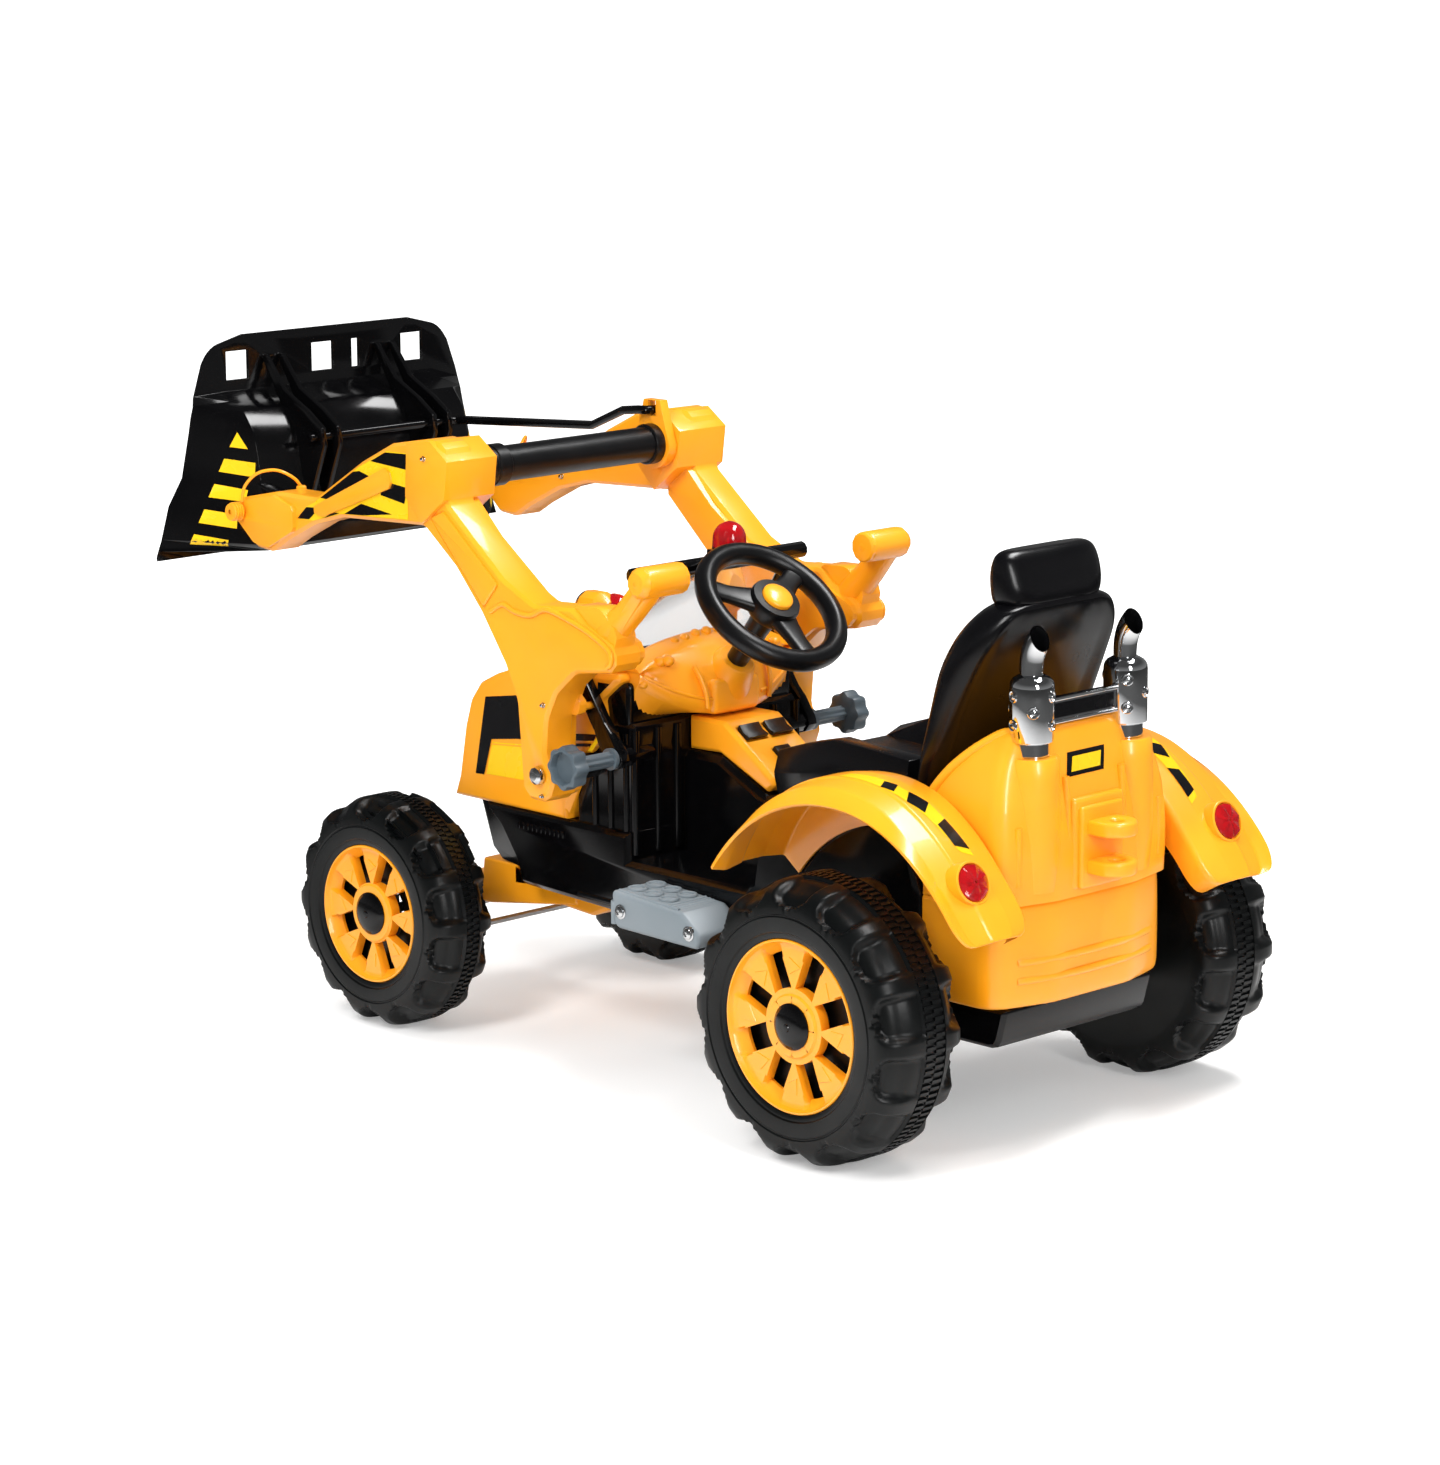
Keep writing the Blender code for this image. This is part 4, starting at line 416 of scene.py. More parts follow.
def rim_shape(size):
    """Rim with eight parallel-sided windows, deep ramps outside them, and a rolled flange."""
    face, edge = size["face"], size["rim"] - 0.0006
    share = size["rim"] / REAR["rim"]
    half = WINDOW_HALF * share
    win_in, win_out, ramp = 0.0405 * share, 0.0785 * share, edge - 0.0050
    disc = face - 0.0105
    profile = [(face - 0.028, edge), (face - 0.0045, edge), (face - 0.0035, edge - 0.0008),
               (face - 0.0035, edge - 0.0026), (face - 0.0055, edge - 0.0034), (disc + 0.0020, ramp)]
    radii = [ramp - 0.0030, win_out + 0.0030, win_out, win_out - 0.006, (win_out + win_in) / 2, win_in + 0.006, win_in]
    profile += [(disc + 0.0006 * (r - win_in) / (win_out - win_in), r) for r in radii]
    profile += [(disc, 0.0345), (disc + 0.0025, 0.0325), (disc + 0.0025, 0.012)]
    bm = spun(profile, SPOKES * SECTOR_COLUMNS)
    sector = math.tau / SPOKES
    hole = []
    for panel in bm.faces:
        middle = panel.calc_center_median()
        r = math.hypot(middle.y, middle.z)
        offset = ((math.atan2(middle.y, middle.z) / sector) % 1.0 - 0.5) * SECTOR_COLUMNS
        if abs(offset) < WINDOW_COLUMNS / 2 and win_in < r < win_out:
            hole.append(panel)
    for vert in bm.verts:
        r = math.hypot(vert.co.y, vert.co.z)
        if r > ramp + 0.0004 or r < 0.030:
            continue
        turn = math.atan2(vert.co.y, vert.co.z) / sector
        cell = math.floor(turn)
        offset = (turn - cell - 0.5) * SECTOR_COLUMNS
        limit = math.asin(min(0.9, half / r))
        outside = SECTOR_COLUMNS / 2 - WINDOW_COLUMNS / 2
        if abs(offset) <= WINDOW_COLUMNS / 2 + 0.01:
            local = limit * offset / (WINDOW_COLUMNS / 2)
            if win_out - 0.0001 < r < ramp - 0.0001:
                vert.co.x -= 0.009 * (ramp - r) / (ramp - win_out)
            elif r >= ramp - 0.0001:
                vert.co.x -= 0.001
        else:
            beyond = (abs(offset) - WINDOW_COLUMNS / 2) / outside
            local = math.copysign(limit + (sector / 2 - limit) * beyond, offset)
        around = (cell + 0.5) * sector + local
        vert.co.y, vert.co.z = r * math.sin(around), r * math.cos(around)
    bmesh.ops.delete(bm, geom=hole, context="FACES")
    rims = [e for e in bm.edges if e.is_boundary and 0.035 < math.hypot(*e.verts[0].co.yz) < ramp]
    walls = bmesh.ops.extrude_edge_only(bm, edges=rims)["geom"]
    for vert in walls:
        if isinstance(vert, bmesh.types.BMVert):
            vert.co.x = face - 0.0225
    bmesh.ops.recalc_face_normals(bm, faces=bm.faces)
    return bm


def raised_triangles(size):
    """Triangular bosses on the spokes."""
    bm = bmesh.new()
    share = size["rim"] / REAR["rim"]
    for k in range(SPOKES):
        spoke = bmesh.ops.create_cone(bm, cap_ends=True, segments=3, radius1=0.0115 * share, radius2=0.0100 * share,
                                      depth=0.0016)["verts"]
        bmesh.ops.rotate(bm, verts=spoke, cent=(0, 0, 0), matrix=Matrix.Rotation(math.pi / 2, 3, "Y"))
        bmesh.ops.transform(bm, matrix=Matrix.Scale(-1, 4, Z_AXIS), verts=spoke)
        bmesh.ops.translate(bm, vec=(size["face"] - 0.0100, 0, 0.0640 * share), verts=spoke)
        bmesh.ops.rotate(bm, verts=spoke, cent=(0, 0, 0), matrix=Matrix.Rotation(math.tau * k / SPOKES, 3, "X"))
    bmesh.ops.recalc_face_normals(bm, faces=bm.faces)
    return bm


def cap_shape(size):
    """Domed centre cap with a raised middle and a stepped skirt."""
    base = size["face"] - 0.0090
    radius = 0.0248
    dome = [(base + 0.0032 + 0.0062 * math.cos(a), radius * 0.90 * math.sin(a)) for a in between(0.02, math.pi / 2, 9)]
    skirt = [(base - 0.002, radius), (base + 0.0024, radius), (base + 0.0032, radius * 0.97)]
    return spun(skirt + dome[-2:0:-1] + [(base + 0.0106, 0.0036), (base + 0.0110, 0.0)], 48)


def make_wheels():
    """Tyre, tread blocks, rim, spoke bosses and hub cap of each wheel."""
    for end, size in (("rear", REAR), ("front", FRONT)):
        for hand, side in SIDES:
            wheel = f"{end}_{hand}"
            tyre, high, low = tyre_shape(size)
            for name, shape, slot, hidden, angle in (
                    (f"tyre_{wheel}_shape", tyre, "tyre", (f"tyre_{wheel}",), 40.0),
                    (f"tread_{wheel}", tread_blocks(size, high, low), "tyre", (), 32.0),
                    (f"rim_{wheel}_shape", rim_shape(size), "yellow_shell", (f"rim_{wheel}",), 34.0),
                    (f"rim_{wheel}_bosses", raised_triangles(size), "yellow_shell", (), 32.0),
                    (f"hub_cap_{wheel}_shape", cap_shape(size), "black_shell", (f"hub_cap_{wheel}",), 40.0)):
                piece(name, placed(shape, size["centre"], X_AXIS, side), body_of[f"tyre_{wheel}"], slot, hidden, angle)


make_wheels()


# Line and skin helpers

def skin(rings, capped=True):
    """Quads between closed rings of points, with a face on each end."""
    bm = bmesh.new()
    rows = [[bm.verts.new(point) for point in ring] for ring in rings]
    for low, high in zip(rows, rows[1:]):
        for i in range(len(low)):
            j = (i + 1) % len(low)
            bm.faces.new((low[i], low[j], high[j], high[i]))
    if capped:
        bm.faces.new(rows[0])
        bm.faces.new(rows[-1])
    bmesh.ops.recalc_face_normals(bm, faces=bm.faces)
    return bm


def flowing(rows, steps):
    """Rows of numbers with smooth steps put in between, as a spline runs through them."""
    result = []
    for i in range(len(rows) - 1):
        before, here = rows[max(i - 1, 0)], rows[i]
        after, beyond = rows[i + 1], rows[min(i + 2, len(rows) - 1)]
        for k in range(steps):
            t = k / steps
            result.append(tuple(0.5 * (2 * b + (c - a) * t + (2 * a - 5 * b + 4 * c - d) * t * t
                                       + (3 * b - a - 3 * c + d) * t ** 3)
                                for a, b, c, d in zip(before, here, after, beyond)))
    result.append(tuple(rows[-1]))
    return result


def eased(corners, steps=5):
    """A line through corners (a, b, radius), each rounded by its radius."""
    line = []
    count = len(corners)
    for i, (a, b, radius) in enumerate(corners):
        here = Vector((a, b))
        to_last = Vector(corners[i - 1][:2]) - here
        to_next = Vector(corners[(i + 1) % count][:2]) - here
        if radius <= 0:
            line.append(here)
            continue
        angle = to_last.angle(to_next)
        cut = min(radius / math.tan(angle / 2), to_last.length * 0.49, to_next.length * 0.49)
        start, end = here + to_last.normalized() * cut, here + to_next.normalized() * cut
        for t in between(0.0, 1.0, steps):
            line.append(start * (1 - t) ** 2 + here * 2 * t * (1 - t) + end * t * t)
    return line


def slab(outline, low, high, edge=0.0, segments=3):
    """A side outline (y, z) made solid between two X values, with its rims rolled over."""
    bm = bmesh.new()
    face = bm.faces.new([bm.verts.new((low, y, z)) for y, z in outline])
    grown = bmesh.ops.extrude_face_region(bm, geom=[face])["geom"]
    bmesh.ops.translate(bm, vec=(high - low, 0, 0), verts=[v for v in grown if isinstance(v, bmesh.types.BMVert)])
    bmesh.ops.recalc_face_normals(bm, faces=bm.faces)
    if edge:
        rims = [e for e in bm.edges if abs(e.verts[0].co.x - e.verts[1].co.x) < 0.00001]
        bmesh.ops.bevel(bm, geom=rims, offset=edge, segments=segments, profile=0.5, affect="EDGES", material=-1)
    return bm


def tube(path, radius, sides=24, capped=True):
    """A round bar along a line of points; the radius may be one number or one for each point."""
    points = [Vector(p) for p in path]
    across = None
    rings = []
    for i, point in enumerate(points):
        direction = (points[min(i + 1, len(points) - 1)] - points[max(i - 1, 0)]).normalized()
        if across is None:
            across = direction.orthogonal().normalized()
        across = (across - direction * across.dot(direction)).normalized()
        other = direction.cross(across)
        size = radius[i] if isinstance(radius, (list, tuple)) else radius
        rings.append([point + size * (across * math.cos(a) + other * math.sin(a))
                      for a in between(0.0, math.tau, sides)[:-1]])
    return skin(rings, capped)


def merged(*shapes):
    """One shape from several."""
    whole = bmesh.new()
    mesh = bpy.data.meshes.new("part_shape")
    for bm in shapes:
        bm.to_mesh(mesh)
        bm.free()
        whole.from_mesh(mesh)
    bpy.data.meshes.remove(mesh)
    return whole


FILM_START = 0.06                   # how far in front of the surface a film's points start


def film(name, patches, aim, target, slot, body, lift, cell=0.006):
    """Thin printed film: flat patches, cut into cells, laid onto a surface along the aim."""
    aim = Vector(aim).normalized()
    mesh = target.data
    tree = BVHTree.FromPolygons([v.co for v in mesh.vertices], [p.vertices for p in mesh.polygons])
    bm = bmesh.new()
    for corners in patches:
        bm.faces.new([bm.verts.new(point) for point in corners])
    first = aim.orthogonal().normalized()
    for across in (first, aim.cross(first)):
        reach = [vert.co.dot(across) for vert in bm.verts]
        place = math.ceil(min(reach) / cell) * cell
        while place < max(reach):
            bmesh.ops.bisect_plane(bm, geom=bm.verts[:] + bm.edges[:] + bm.faces[:], plane_co=across * place,
                                   plane_no=across)
            place += cell
    for vert in bm.verts:
        spot = tree.ray_cast(vert.co - aim * FILM_START, aim)[0]
        if spot is not None:
            vert.co = spot - aim * lift
    bmesh.ops.recalc_face_normals(bm, faces=bm.faces)
    if sum(f.normal.dot(aim) * f.calc_area() for f in bm.faces) > 0:
        bmesh.ops.reverse_faces(bm, faces=bm.faces)
    return piece(name, bm, body, slot)


# Nodes whose own shape is right get softer edges only; the rest are made anew below.
FINE_EDGE = 0.0007
EDGE_WIDTHS = {"boom_left": 0.002, "boom_right": 0.002, "hood": 0.002, "chassis_shell": 0.002, "console": 0.0015,
               "seat_pan": 0.004, "bucket": 0.001, "footstep_left": 0.0015, "footstep_right": 0.0015}
REBUILT = ("tyre_", "rim_", "hub_cap_", "seat_back", "exhaust_stacks", "steering_wheel", "horn_button", "tail_light_",
           "beacon", "fender_", "rear_cowl", "rear_bumper", "tow_hitch", "dash_panel", "knob_", "cross_tube")
shells = {node: dressed(node, EDGE_WIDTHS.get(node, FINE_EDGE)) for node in nodes if not node.startswith(REBUILT)}


# Seat

# Rows of the seat back and of its headrest: height, front, rear, half-width, hollow.
BACK_ROWS = (
    (0.3355, 0.4535, 0.4745, 0.104, 0.000), (0.350, 0.4535, 0.480, 0.109, 0.002), (0.372, 0.4540, 0.489, 0.114, 0.004),
    (0.410, 0.462, 0.509, 0.1195, 0.006), (0.450, 0.471, 0.525, 0.120, 0.007), (0.500, 0.482, 0.549, 0.1195, 0.007),
    (0.530, 0.494, 0.564, 0.115, 0.006), (0.552, 0.506, 0.573, 0.104, 0.004), (0.568, 0.518, 0.577, 0.087, 0.002),
    (0.5755, 0.527, 0.572, 0.066, 0.000), (0.577, 0.533, 0.566, 0.050, 0.000))
HEADREST_ROWS = (
    (0.5710, 0.528, 0.566, 0.058, 0.0), (0.5725, 0.524, 0.570, 0.0675, 0.0), (0.577, 0.5215, 0.573, 0.0725, 0.0),
    (0.590, 0.5205, 0.573, 0.0750, 0.0015), (0.605, 0.5215, 0.569, 0.0755, 0.0015),
    (0.617, 0.5245, 0.564, 0.0735, 0.0), (0.6245, 0.528, 0.559, 0.0690, 0.0), (0.6285, 0.533, 0.553, 0.060, 0.0),
    (0.6290, 0.538, 0.548, 0.048, 0.0))


def seat_section(front, rear, half, square, hollow):
    """Closed ring of (x, y) points: a rounded cushion, with its back panel sunk between padded edges."""
    ring = []
    middle, depth = (front + rear) / 2, (rear - front) / 2
    for a in between(0.0, math.tau, 56)[:-1]:
        along, across = math.cos(a), math.sin(a)
        x = half * math.copysign(abs(along) ** square, along)
        y = middle + depth * math.copysign(abs(across) ** 0.80, across)
        if across > 0:
            y -= hollow * smooth((half - 0.016 - abs(x)) / 0.016)
        else:
            y += hollow * 1.4 * smooth((half - 0.020 - abs(x)) / 0.030)
        ring.append((x, y - FRAME_CENTRE))
    return ring


def padded_block(rows, steps, square):
    """Closed block through the rows, its corners squarer with a smaller power."""
    return skin([[(x, y, z) for x, y in seat_section(front, rear, half, square, hollow)]
                 for z, front, rear, half, hollow in flowing(rows, steps)])


def make_seat_back():
    """Back rest with the headrest sunk into its top."""
    shape = merged(padded_block(BACK_ROWS, 6, 0.62), padded_block(HEADREST_ROWS, 5, 0.50))
    piece("seat_back_shape", shape, body_of["seat_back"], "seat_moulding", ("seat_back",), 50.0)


# Exhaust

STACK = Vector((0.0735, 0.594 - FRAME_CENTRE, 0.4218))
STACK_RADIUS = 0.0236
STACK_HEIGHT = 0.0842
PIPE_WALL = 0.0011


def stack_bosses(spot, start):
    """Domed studs with a raised ring, in columns of two and of one round the silencer."""
    shapes = []
    for k in range(6):
        turn = math.radians(start + 60 * k)
        out = Vector((math.cos(turn), math.sin(turn), 0))
        heights = (0.40, 0.76) if k % 2 else (0.58,)
        for share in heights:
            place = spot + out * (STACK_RADIUS - 0.0006) + Z_AXIS * STACK_HEIGHT * share
            stud = [(-0.001, 0.0068), (0.0008, 0.0066), (0.0016, 0.0058), (0.0014, 0.0048), (0.0002, 0.0042),
                    (0.0006, 0.0036), (0.0018, 0.0026), (0.0022, 0.0010)]
            shapes.append(placed(spun(stud, 24), place, out))
    return shapes


def make_stacks():
    """Two silencers with bent pipes, the plate between them on its two bars, and its bare label."""
    r, h = STACK_RADIUS, STACK_HEIGHT
    shapes, sleeves = [], []
    for side, start in ((LEFT, 46.0), (RIGHT, 106.0)):
        spot = Vector((side * STACK.x, STACK.y, STACK.z))
        profile = [(0.0005, r * 0.30), (0.0005, r * 0.80), (h * 0.165, r * 0.80), (h * 0.175, r * 0.86),
                   (h * 0.185, r * 0.97), (h * 0.20, r), (h * 0.86, r), (h * 0.90, r * 0.985), (h * 0.94, r * 0.93),
                   (h * 0.975, r * 0.82), (h, r * 0.66), (h + 0.001, r * 0.58), (h + 0.0015, r * 0.30)]
        shapes.append(placed(spun(profile, 56), spot, Z_AXIS))
        shapes += stack_bosses(spot, start)
        top = spot + Z_AXIS * h
        bend = [(0, -0.001, 0.0), (0, -0.001, 0.008), (0, 0.0, 0.018), (0, 0.003, 0.028), (0, 0.009, 0.038),
                (0, 0.018, 0.047), (0, 0.030, 0.055)]
        path = [top + Vector(point) for point in flowing(bend, 6)]
        wide = [0.0122 + 0.0015 * i / (len(path) - 1) for i in range(len(path))]
        mouth = top + Vector((0, 0.0125, 0.036))
        for radius, store in ((wide, shapes), ([w - PIPE_WALL for w in wide], sleeves)):
            pipe = tube(path, radius, 36, False)
            bmesh.ops.bisect_plane(pipe, geom=pipe.verts[:] + pipe.edges[:] + pipe.faces[:], plane_co=mouth,
                                   plane_no=(0, 0.90, 0.44), clear_outer=True)
            store.append(pipe)
    plate_y, plate_z = STACK.y + 0.004, 0.4655
    reach = 2 * STACK.x - r * 1.2
    for z in (0.4515, 0.4755):
        shapes.append(box_shape((reach, 0.010, 0.0045), (0, plate_y, z + 0.002), 0.0018))
    shapes.append(box_shape((reach, 0.005, 0.028), (0, plate_y, plate_z)))
    body = body_of["exhaust_stacks"]
    piece("exhaust_stacks_shape", merged(*shapes), body, "plated_plastic", ("exhaust_stacks",), 35.0)
    piece("exhaust_sleeves", merged(*sleeves), body, "black_trim", (), 40.0)
    piece("plate_label", box_shape((0.094, 0.0006, 0.0155), (0.0, plate_y + 0.0028, plate_z)), body, "label_black")


# Steering wheel

WHEEL_TILT = math.radians(50.2)
WHEEL_AXIS = Vector((0.0, math.cos(WHEEL_TILT), math.sin(WHEEL_TILT)))
COLUMN_BASE = Vector((0.0, 0.077 - FRAME_CENTRE, 0.443))
RIM_RING, RIM_GRIP = 0.0819, 0.0125
BUTTON_RADIUS = 0.0183


def make_steering_wheel():
    """Padded ring on three oval spokes, its column with the horn's recess, and the horn button."""
    centre = COLUMN_BASE + WHEEL_AXIS * 0.092
    rim_line = [(RIM_GRIP * math.cos(a), RIM_RING + RIM_GRIP * math.sin(a)) for a in between(0.0, math.tau, 20)[:-1]]
    shapes = [placed(spun(rim_line, 96, closed=True), centre, WHEEL_AXIS)]
    column = [(-0.115, 0.0115), (-0.030, 0.0140), (-0.012, 0.0160), (-0.010, 0.026), (-0.004, 0.0295),
              (0.010, 0.0300), (0.0145, 0.0285), (0.0150, 0.0190), (0.004, 0.0187), (0.004, 0.0)]
    shapes.append(placed(spun(column, 48), centre, WHEEL_AXIS))
    up = WHEEL_AXIS.cross(X_AXIS)
    for angle in (90, 210, 330):
        turn = math.radians(angle)
        out = (X_AXIS * math.cos(turn) + up * math.sin(turn)).normalized()
        wide = WHEEL_AXIS.cross(out)
        rings = []
        for reach, half, lift, thick in ((0.018, 0.0185, 0.002, 0.0085), (0.034, 0.0150, 0.001, 0.0070),
                                         (0.055, 0.0120, 0.000, 0.0060), (0.076, 0.0130, 0.000, 0.0065)):
            spot = centre + out * reach + WHEEL_AXIS * lift
            rings.append([spot + wide * half * math.copysign(abs(math.cos(t)) ** 0.6, math.cos(t))
                          + WHEEL_AXIS * thick * math.copysign(abs(math.sin(t)) ** 0.7, math.sin(t))
                          for t in between(0.0, math.tau, 24)[:-1]])
        shapes.append(skin(rings))
    piece("steering_wheel_shape", merged(*shapes), body_of["steering_wheel"], "black_trim", ("steering_wheel",), 40.0)
    button = [(-0.004, BUTTON_RADIUS), (0.0035, BUTTON_RADIUS)]
    button += [(0.0035 + 0.0055 * math.sin(t), BUTTON_RADIUS * math.cos(t)) for t in between(0.12, math.pi / 2, 7)]
    place = COLUMN_BASE + WHEEL_AXIS * (0.1055 + 0.0005)
    piece("horn_button_shape", placed(spun(button, 48), place, WHEEL_AXIS), body_of["horn_button"], "yellow_shell",
          ("horn_button",), 40.0)


# Lamps

TAIL_LAMP_PLACE = math.radians(46.0)    # how far up from the rear the lamp sits, seen from the axle
TAIL_LAMP_TILT = 0.38                   # how far it looks up, in radians
TAIL_LAMP_REACH = 0.2225                # from the rear axle
LENS_FACETS = 14
BEACON_RADIUS = 0.0192


def make_tail_lamps():
    """Faceted red lens in a yellow bezel, with a bright chip behind it, on each fender."""
    out = Vector((0.02, math.cos(TAIL_LAMP_TILT), math.sin(TAIL_LAMP_TILT))).normalized()
    seat = Vector((0.2008, 0.471 - FRAME_CENTRE + TAIL_LAMP_REACH * math.cos(TAIL_LAMP_PLACE),
                   0.1518 + TAIL_LAMP_REACH * math.sin(TAIL_LAMP_PLACE)))
    bezel = [(-0.020, 0.0245), (0.0052, 0.0232), (0.0064, 0.0222), (0.0062, 0.0208), (0.0040, 0.0202), (0.0, 0.004)]
    lens = [(0.0040, 0.0204), (0.0066, 0.0190), (0.0084, 0.0150), (0.0096, 0.0095), (0.0104, 0.0045),
            (0.0100, 0.0012)]
    for hand, side in SIDES:
        node = f"tail_light_{hand}"
        faceted = spun(lens, LENS_FACETS)
        for vert in faceted.verts:
            if 0.008 < math.hypot(vert.co.y, vert.co.z) < 0.0195:
                vert.co.x += 0.0010 * math.cos(LENS_FACETS / 2 * math.atan2(vert.co.y, vert.co.z))
        chip = bmesh.new()
        bmesh.ops.create_icosphere(chip, subdivisions=2, radius=0.0058)
        bmesh.ops.scale(chip, vec=(0.45, 1, 1), verts=chip.verts)
        for name, shape, spot, slot, hidden, angle in (
                ("bezel", spun(bezel, 40), seat, "yellow_shell", (), 18.0),
                ("lens", faceted, seat, "lens_red", (node,), 18.0),
                ("reflector", chip, seat + out * 0.0042, "plated_plastic", (), 10.0)):
            piece(f"{node}_{name}", placed(shape, spot, out, side), body_of[node], slot, hidden, angle)


def make_beacon():
    """Red dome with its collar and the bright core inside."""
    base = Vector((-0.035, 0.033 - FRAME_CENTRE, 0.5638))
    dome = [(0.0005, 0.012), (0.0025, 0.0196), (0.0120, BEACON_RADIUS)]
    dome += [(0.0120 + 0.0200 * math.sin(t), BEACON_RADIUS * math.cos(t)) for t in between(0.15, 1.5, 9)]
    collar = [(0.0004, 0.0130), (0.0004, 0.0200), (0.0030, 0.0200), (0.0034, 0.0194)]
    core = [(0.003, 0.0110), (0.022, 0.0085), (0.026, 0.0030)]
    for name, line, steps, slot, hidden, angle in (("lens", dome, 48, "lens_red", ("beacon",), 40.0),
                                                   ("collar", collar, 48, "black_trim", (), 40.0),
                                                   ("reflector", core, 10, "plated_plastic", (), 10.0)):
        piece(f"beacon_{name}", placed(spun(line, steps), base, Z_AXIS), body_of["beacon"], slot, hidden, angle)


# Fenders

FENDER_INNER = 0.1405
FENDER_MIDDLE = 0.195
FENDER_WALL = 0.0040
ROUND_START, ROUND_SPAN = 38.0, 9.0     # degrees above the level rear where the lower end begins to narrow
ROUND_SHARE = 0.30                      # how much of its width the lower end loses
# Angle up from the level rear, and how far the crown rises over its usual radius there.
FENDER_STATIONS = ((29, -0.018), (37, -0.018), (48, -0.016), (62, -0.006), (78, 0.006), (94, 0.010), (110, 0.008),
                   (126, 0.000), (143, -0.016))


def fender_line(rise):
    """Outer line of the fender's section, as (x, radius round the axle): wall, crown with its crest, lip."""
    lip = 0.2225 + 0.2 * rise
    crown = 0.236 + rise
    corners = [(FENDER_INNER, 0.186, 0.0), (FENDER_INNER, crown - 0.003, 0.008), (0.172, crown + 0.0015, 0.020),
               (0.205, crown + 0.0012, 0.006), (0.2085, crown - 0.0008, 0.004), (0.234, crown - 0.0055, 0.012),
               (0.250, lip, 0.0)]
    return eased(corners, 5)


def fender_rings():
    """Sections of the fender, out along its outer line and back along its inner one."""
    centre = REAR["centre"]
    rings = []
    for angle, rise in flowing(FENDER_STATIONS, 6):
        line = fender_line(rise)
        inside = []
        for i, point in enumerate(line):
            along = line[min(i + 1, len(line) - 1)] - line[max(i - 1, 0)]
            inside.append(point + Vector((along.y, -along.x)).normalized() * FENDER_WALL)
        a = math.radians(angle)
        near_end = min(1.0, max(0.0, (ROUND_START - angle) / ROUND_SPAN))
        narrow = 1 - ROUND_SHARE * (1 - math.sqrt(1 - near_end * near_end))
        rings.append([Vector((FENDER_MIDDLE + (x - FENDER_MIDDLE) * narrow, centre.y + r * math.cos(a),
                              centre.z + r * math.sin(a))) for x, r in line + inside[::-1]])
    return rings


def make_fenders():
    """Both fenders, kept by node name for the films that lie on them."""
    rings = fender_rings()
    shaped = {}
    for hand, side in SIDES:
        shape = skin(rings)
        edges = [e for e in shape.edges if e.is_manifold and e.calc_face_angle(0.0) > math.radians(50)]
        bmesh.ops.bevel(shape, geom=edges, offset=0.0012, segments=2, profile=0.5, affect="EDGES", material=-1,
                        clamp_overlap=True)
        node = f"fender_{hand}"
        shaped[node] = piece(f"{node}_shape", on_side(shape, side), body_of[node], "yellow_shell", (node,), 30.0)
    return shaped


make_seat_back()
make_stacks()
make_steering_wheel()
make_tail_lamps()
make_beacon()
fenders = make_fenders()


# Printed films

def flat_film(name, x, patches, slot, body):
    """Film on a side face: patches of (y, z) corners on the left, and the same on the right."""
    for hand, side in SIDES:
        bm = bmesh.new()
        for corners in patches:
            bm.faces.new([bm.verts.new((side * x, y, z)) for y, z in corners])
        bmesh.ops.recalc_face_normals(bm, faces=bm.faces)
        for face in bm.faces:
            if face.normal.x * side < 0:
                face.normal_flip()
        piece(f"{name}_{hand}", bm, body[hand], slot)


# Patches as they lie on the left side: (x, y, z) corners on a curved face, (y, z) corners on a flat one.
FLARE_STRIPES = [
    [(0.1861, -0.6136, 0.6431), (0.1779, -0.6083, 0.6605), (0.1720, -0.5963, 0.6406)],
    [(0.1977, -0.6208, 0.6138), (0.1918, -0.6170, 0.6292), (0.1674, -0.5879, 0.6242), (0.1694, -0.5876, 0.6071)],
    [(0.2133, -0.6220, 0.5844), (0.2044, -0.6214, 0.5995), (0.1775, -0.5907, 0.5921), (0.1823, -0.5910, 0.5784)],
    [(0.2280, -0.6236, 0.5547), (0.2194, -0.6227, 0.5703), (0.1921, -0.5933, 0.5637), (0.1974, -0.5892, 0.5478)],
    [(0.2366, -0.6310, 0.5290), (0.2338, -0.6254, 0.5414), (0.2067, -0.5938, 0.5345), (0.2040, -0.5990, 0.5265)],
]
FOREARM_BASE = [(-0.4520, 0.5765), (-0.4360, 0.5920), (-0.4195, 0.5990), (-0.3360, 0.6490), (-0.2850, 0.6720),
                (-0.2500, 0.6725), (-0.2500, 0.5965), (-0.3705, 0.5905), (-0.4235, 0.5770)]
FOREARM_BLACK = [
    [(-0.4520, 0.5768), (-0.4350, 0.5918), (-0.4100, 0.5935), (-0.4302, 0.5779)],
    [(-0.4082, 0.6056), (-0.3472, 0.6422), (-0.3358, 0.6440), (-0.3100, 0.6380), (-0.3766, 0.6040)],
    [(-0.3151, 0.6575), (-0.2890, 0.6700), (-0.2500, 0.6716), (-0.2500, 0.6535)],
    [(-0.2991, 0.6374), (-0.2500, 0.6328), (-0.2560, 0.6140), (-0.2977, 0.6199)],
    [(-0.3647, 0.5912), (-0.3335, 0.6063), (-0.2784, 0.5995), (-0.3300, 0.5930)],
    [(-0.4023, 0.5824), (-0.3860, 0.5905), (-0.3740, 0.5908), (-0.3900, 0.5860)],
]
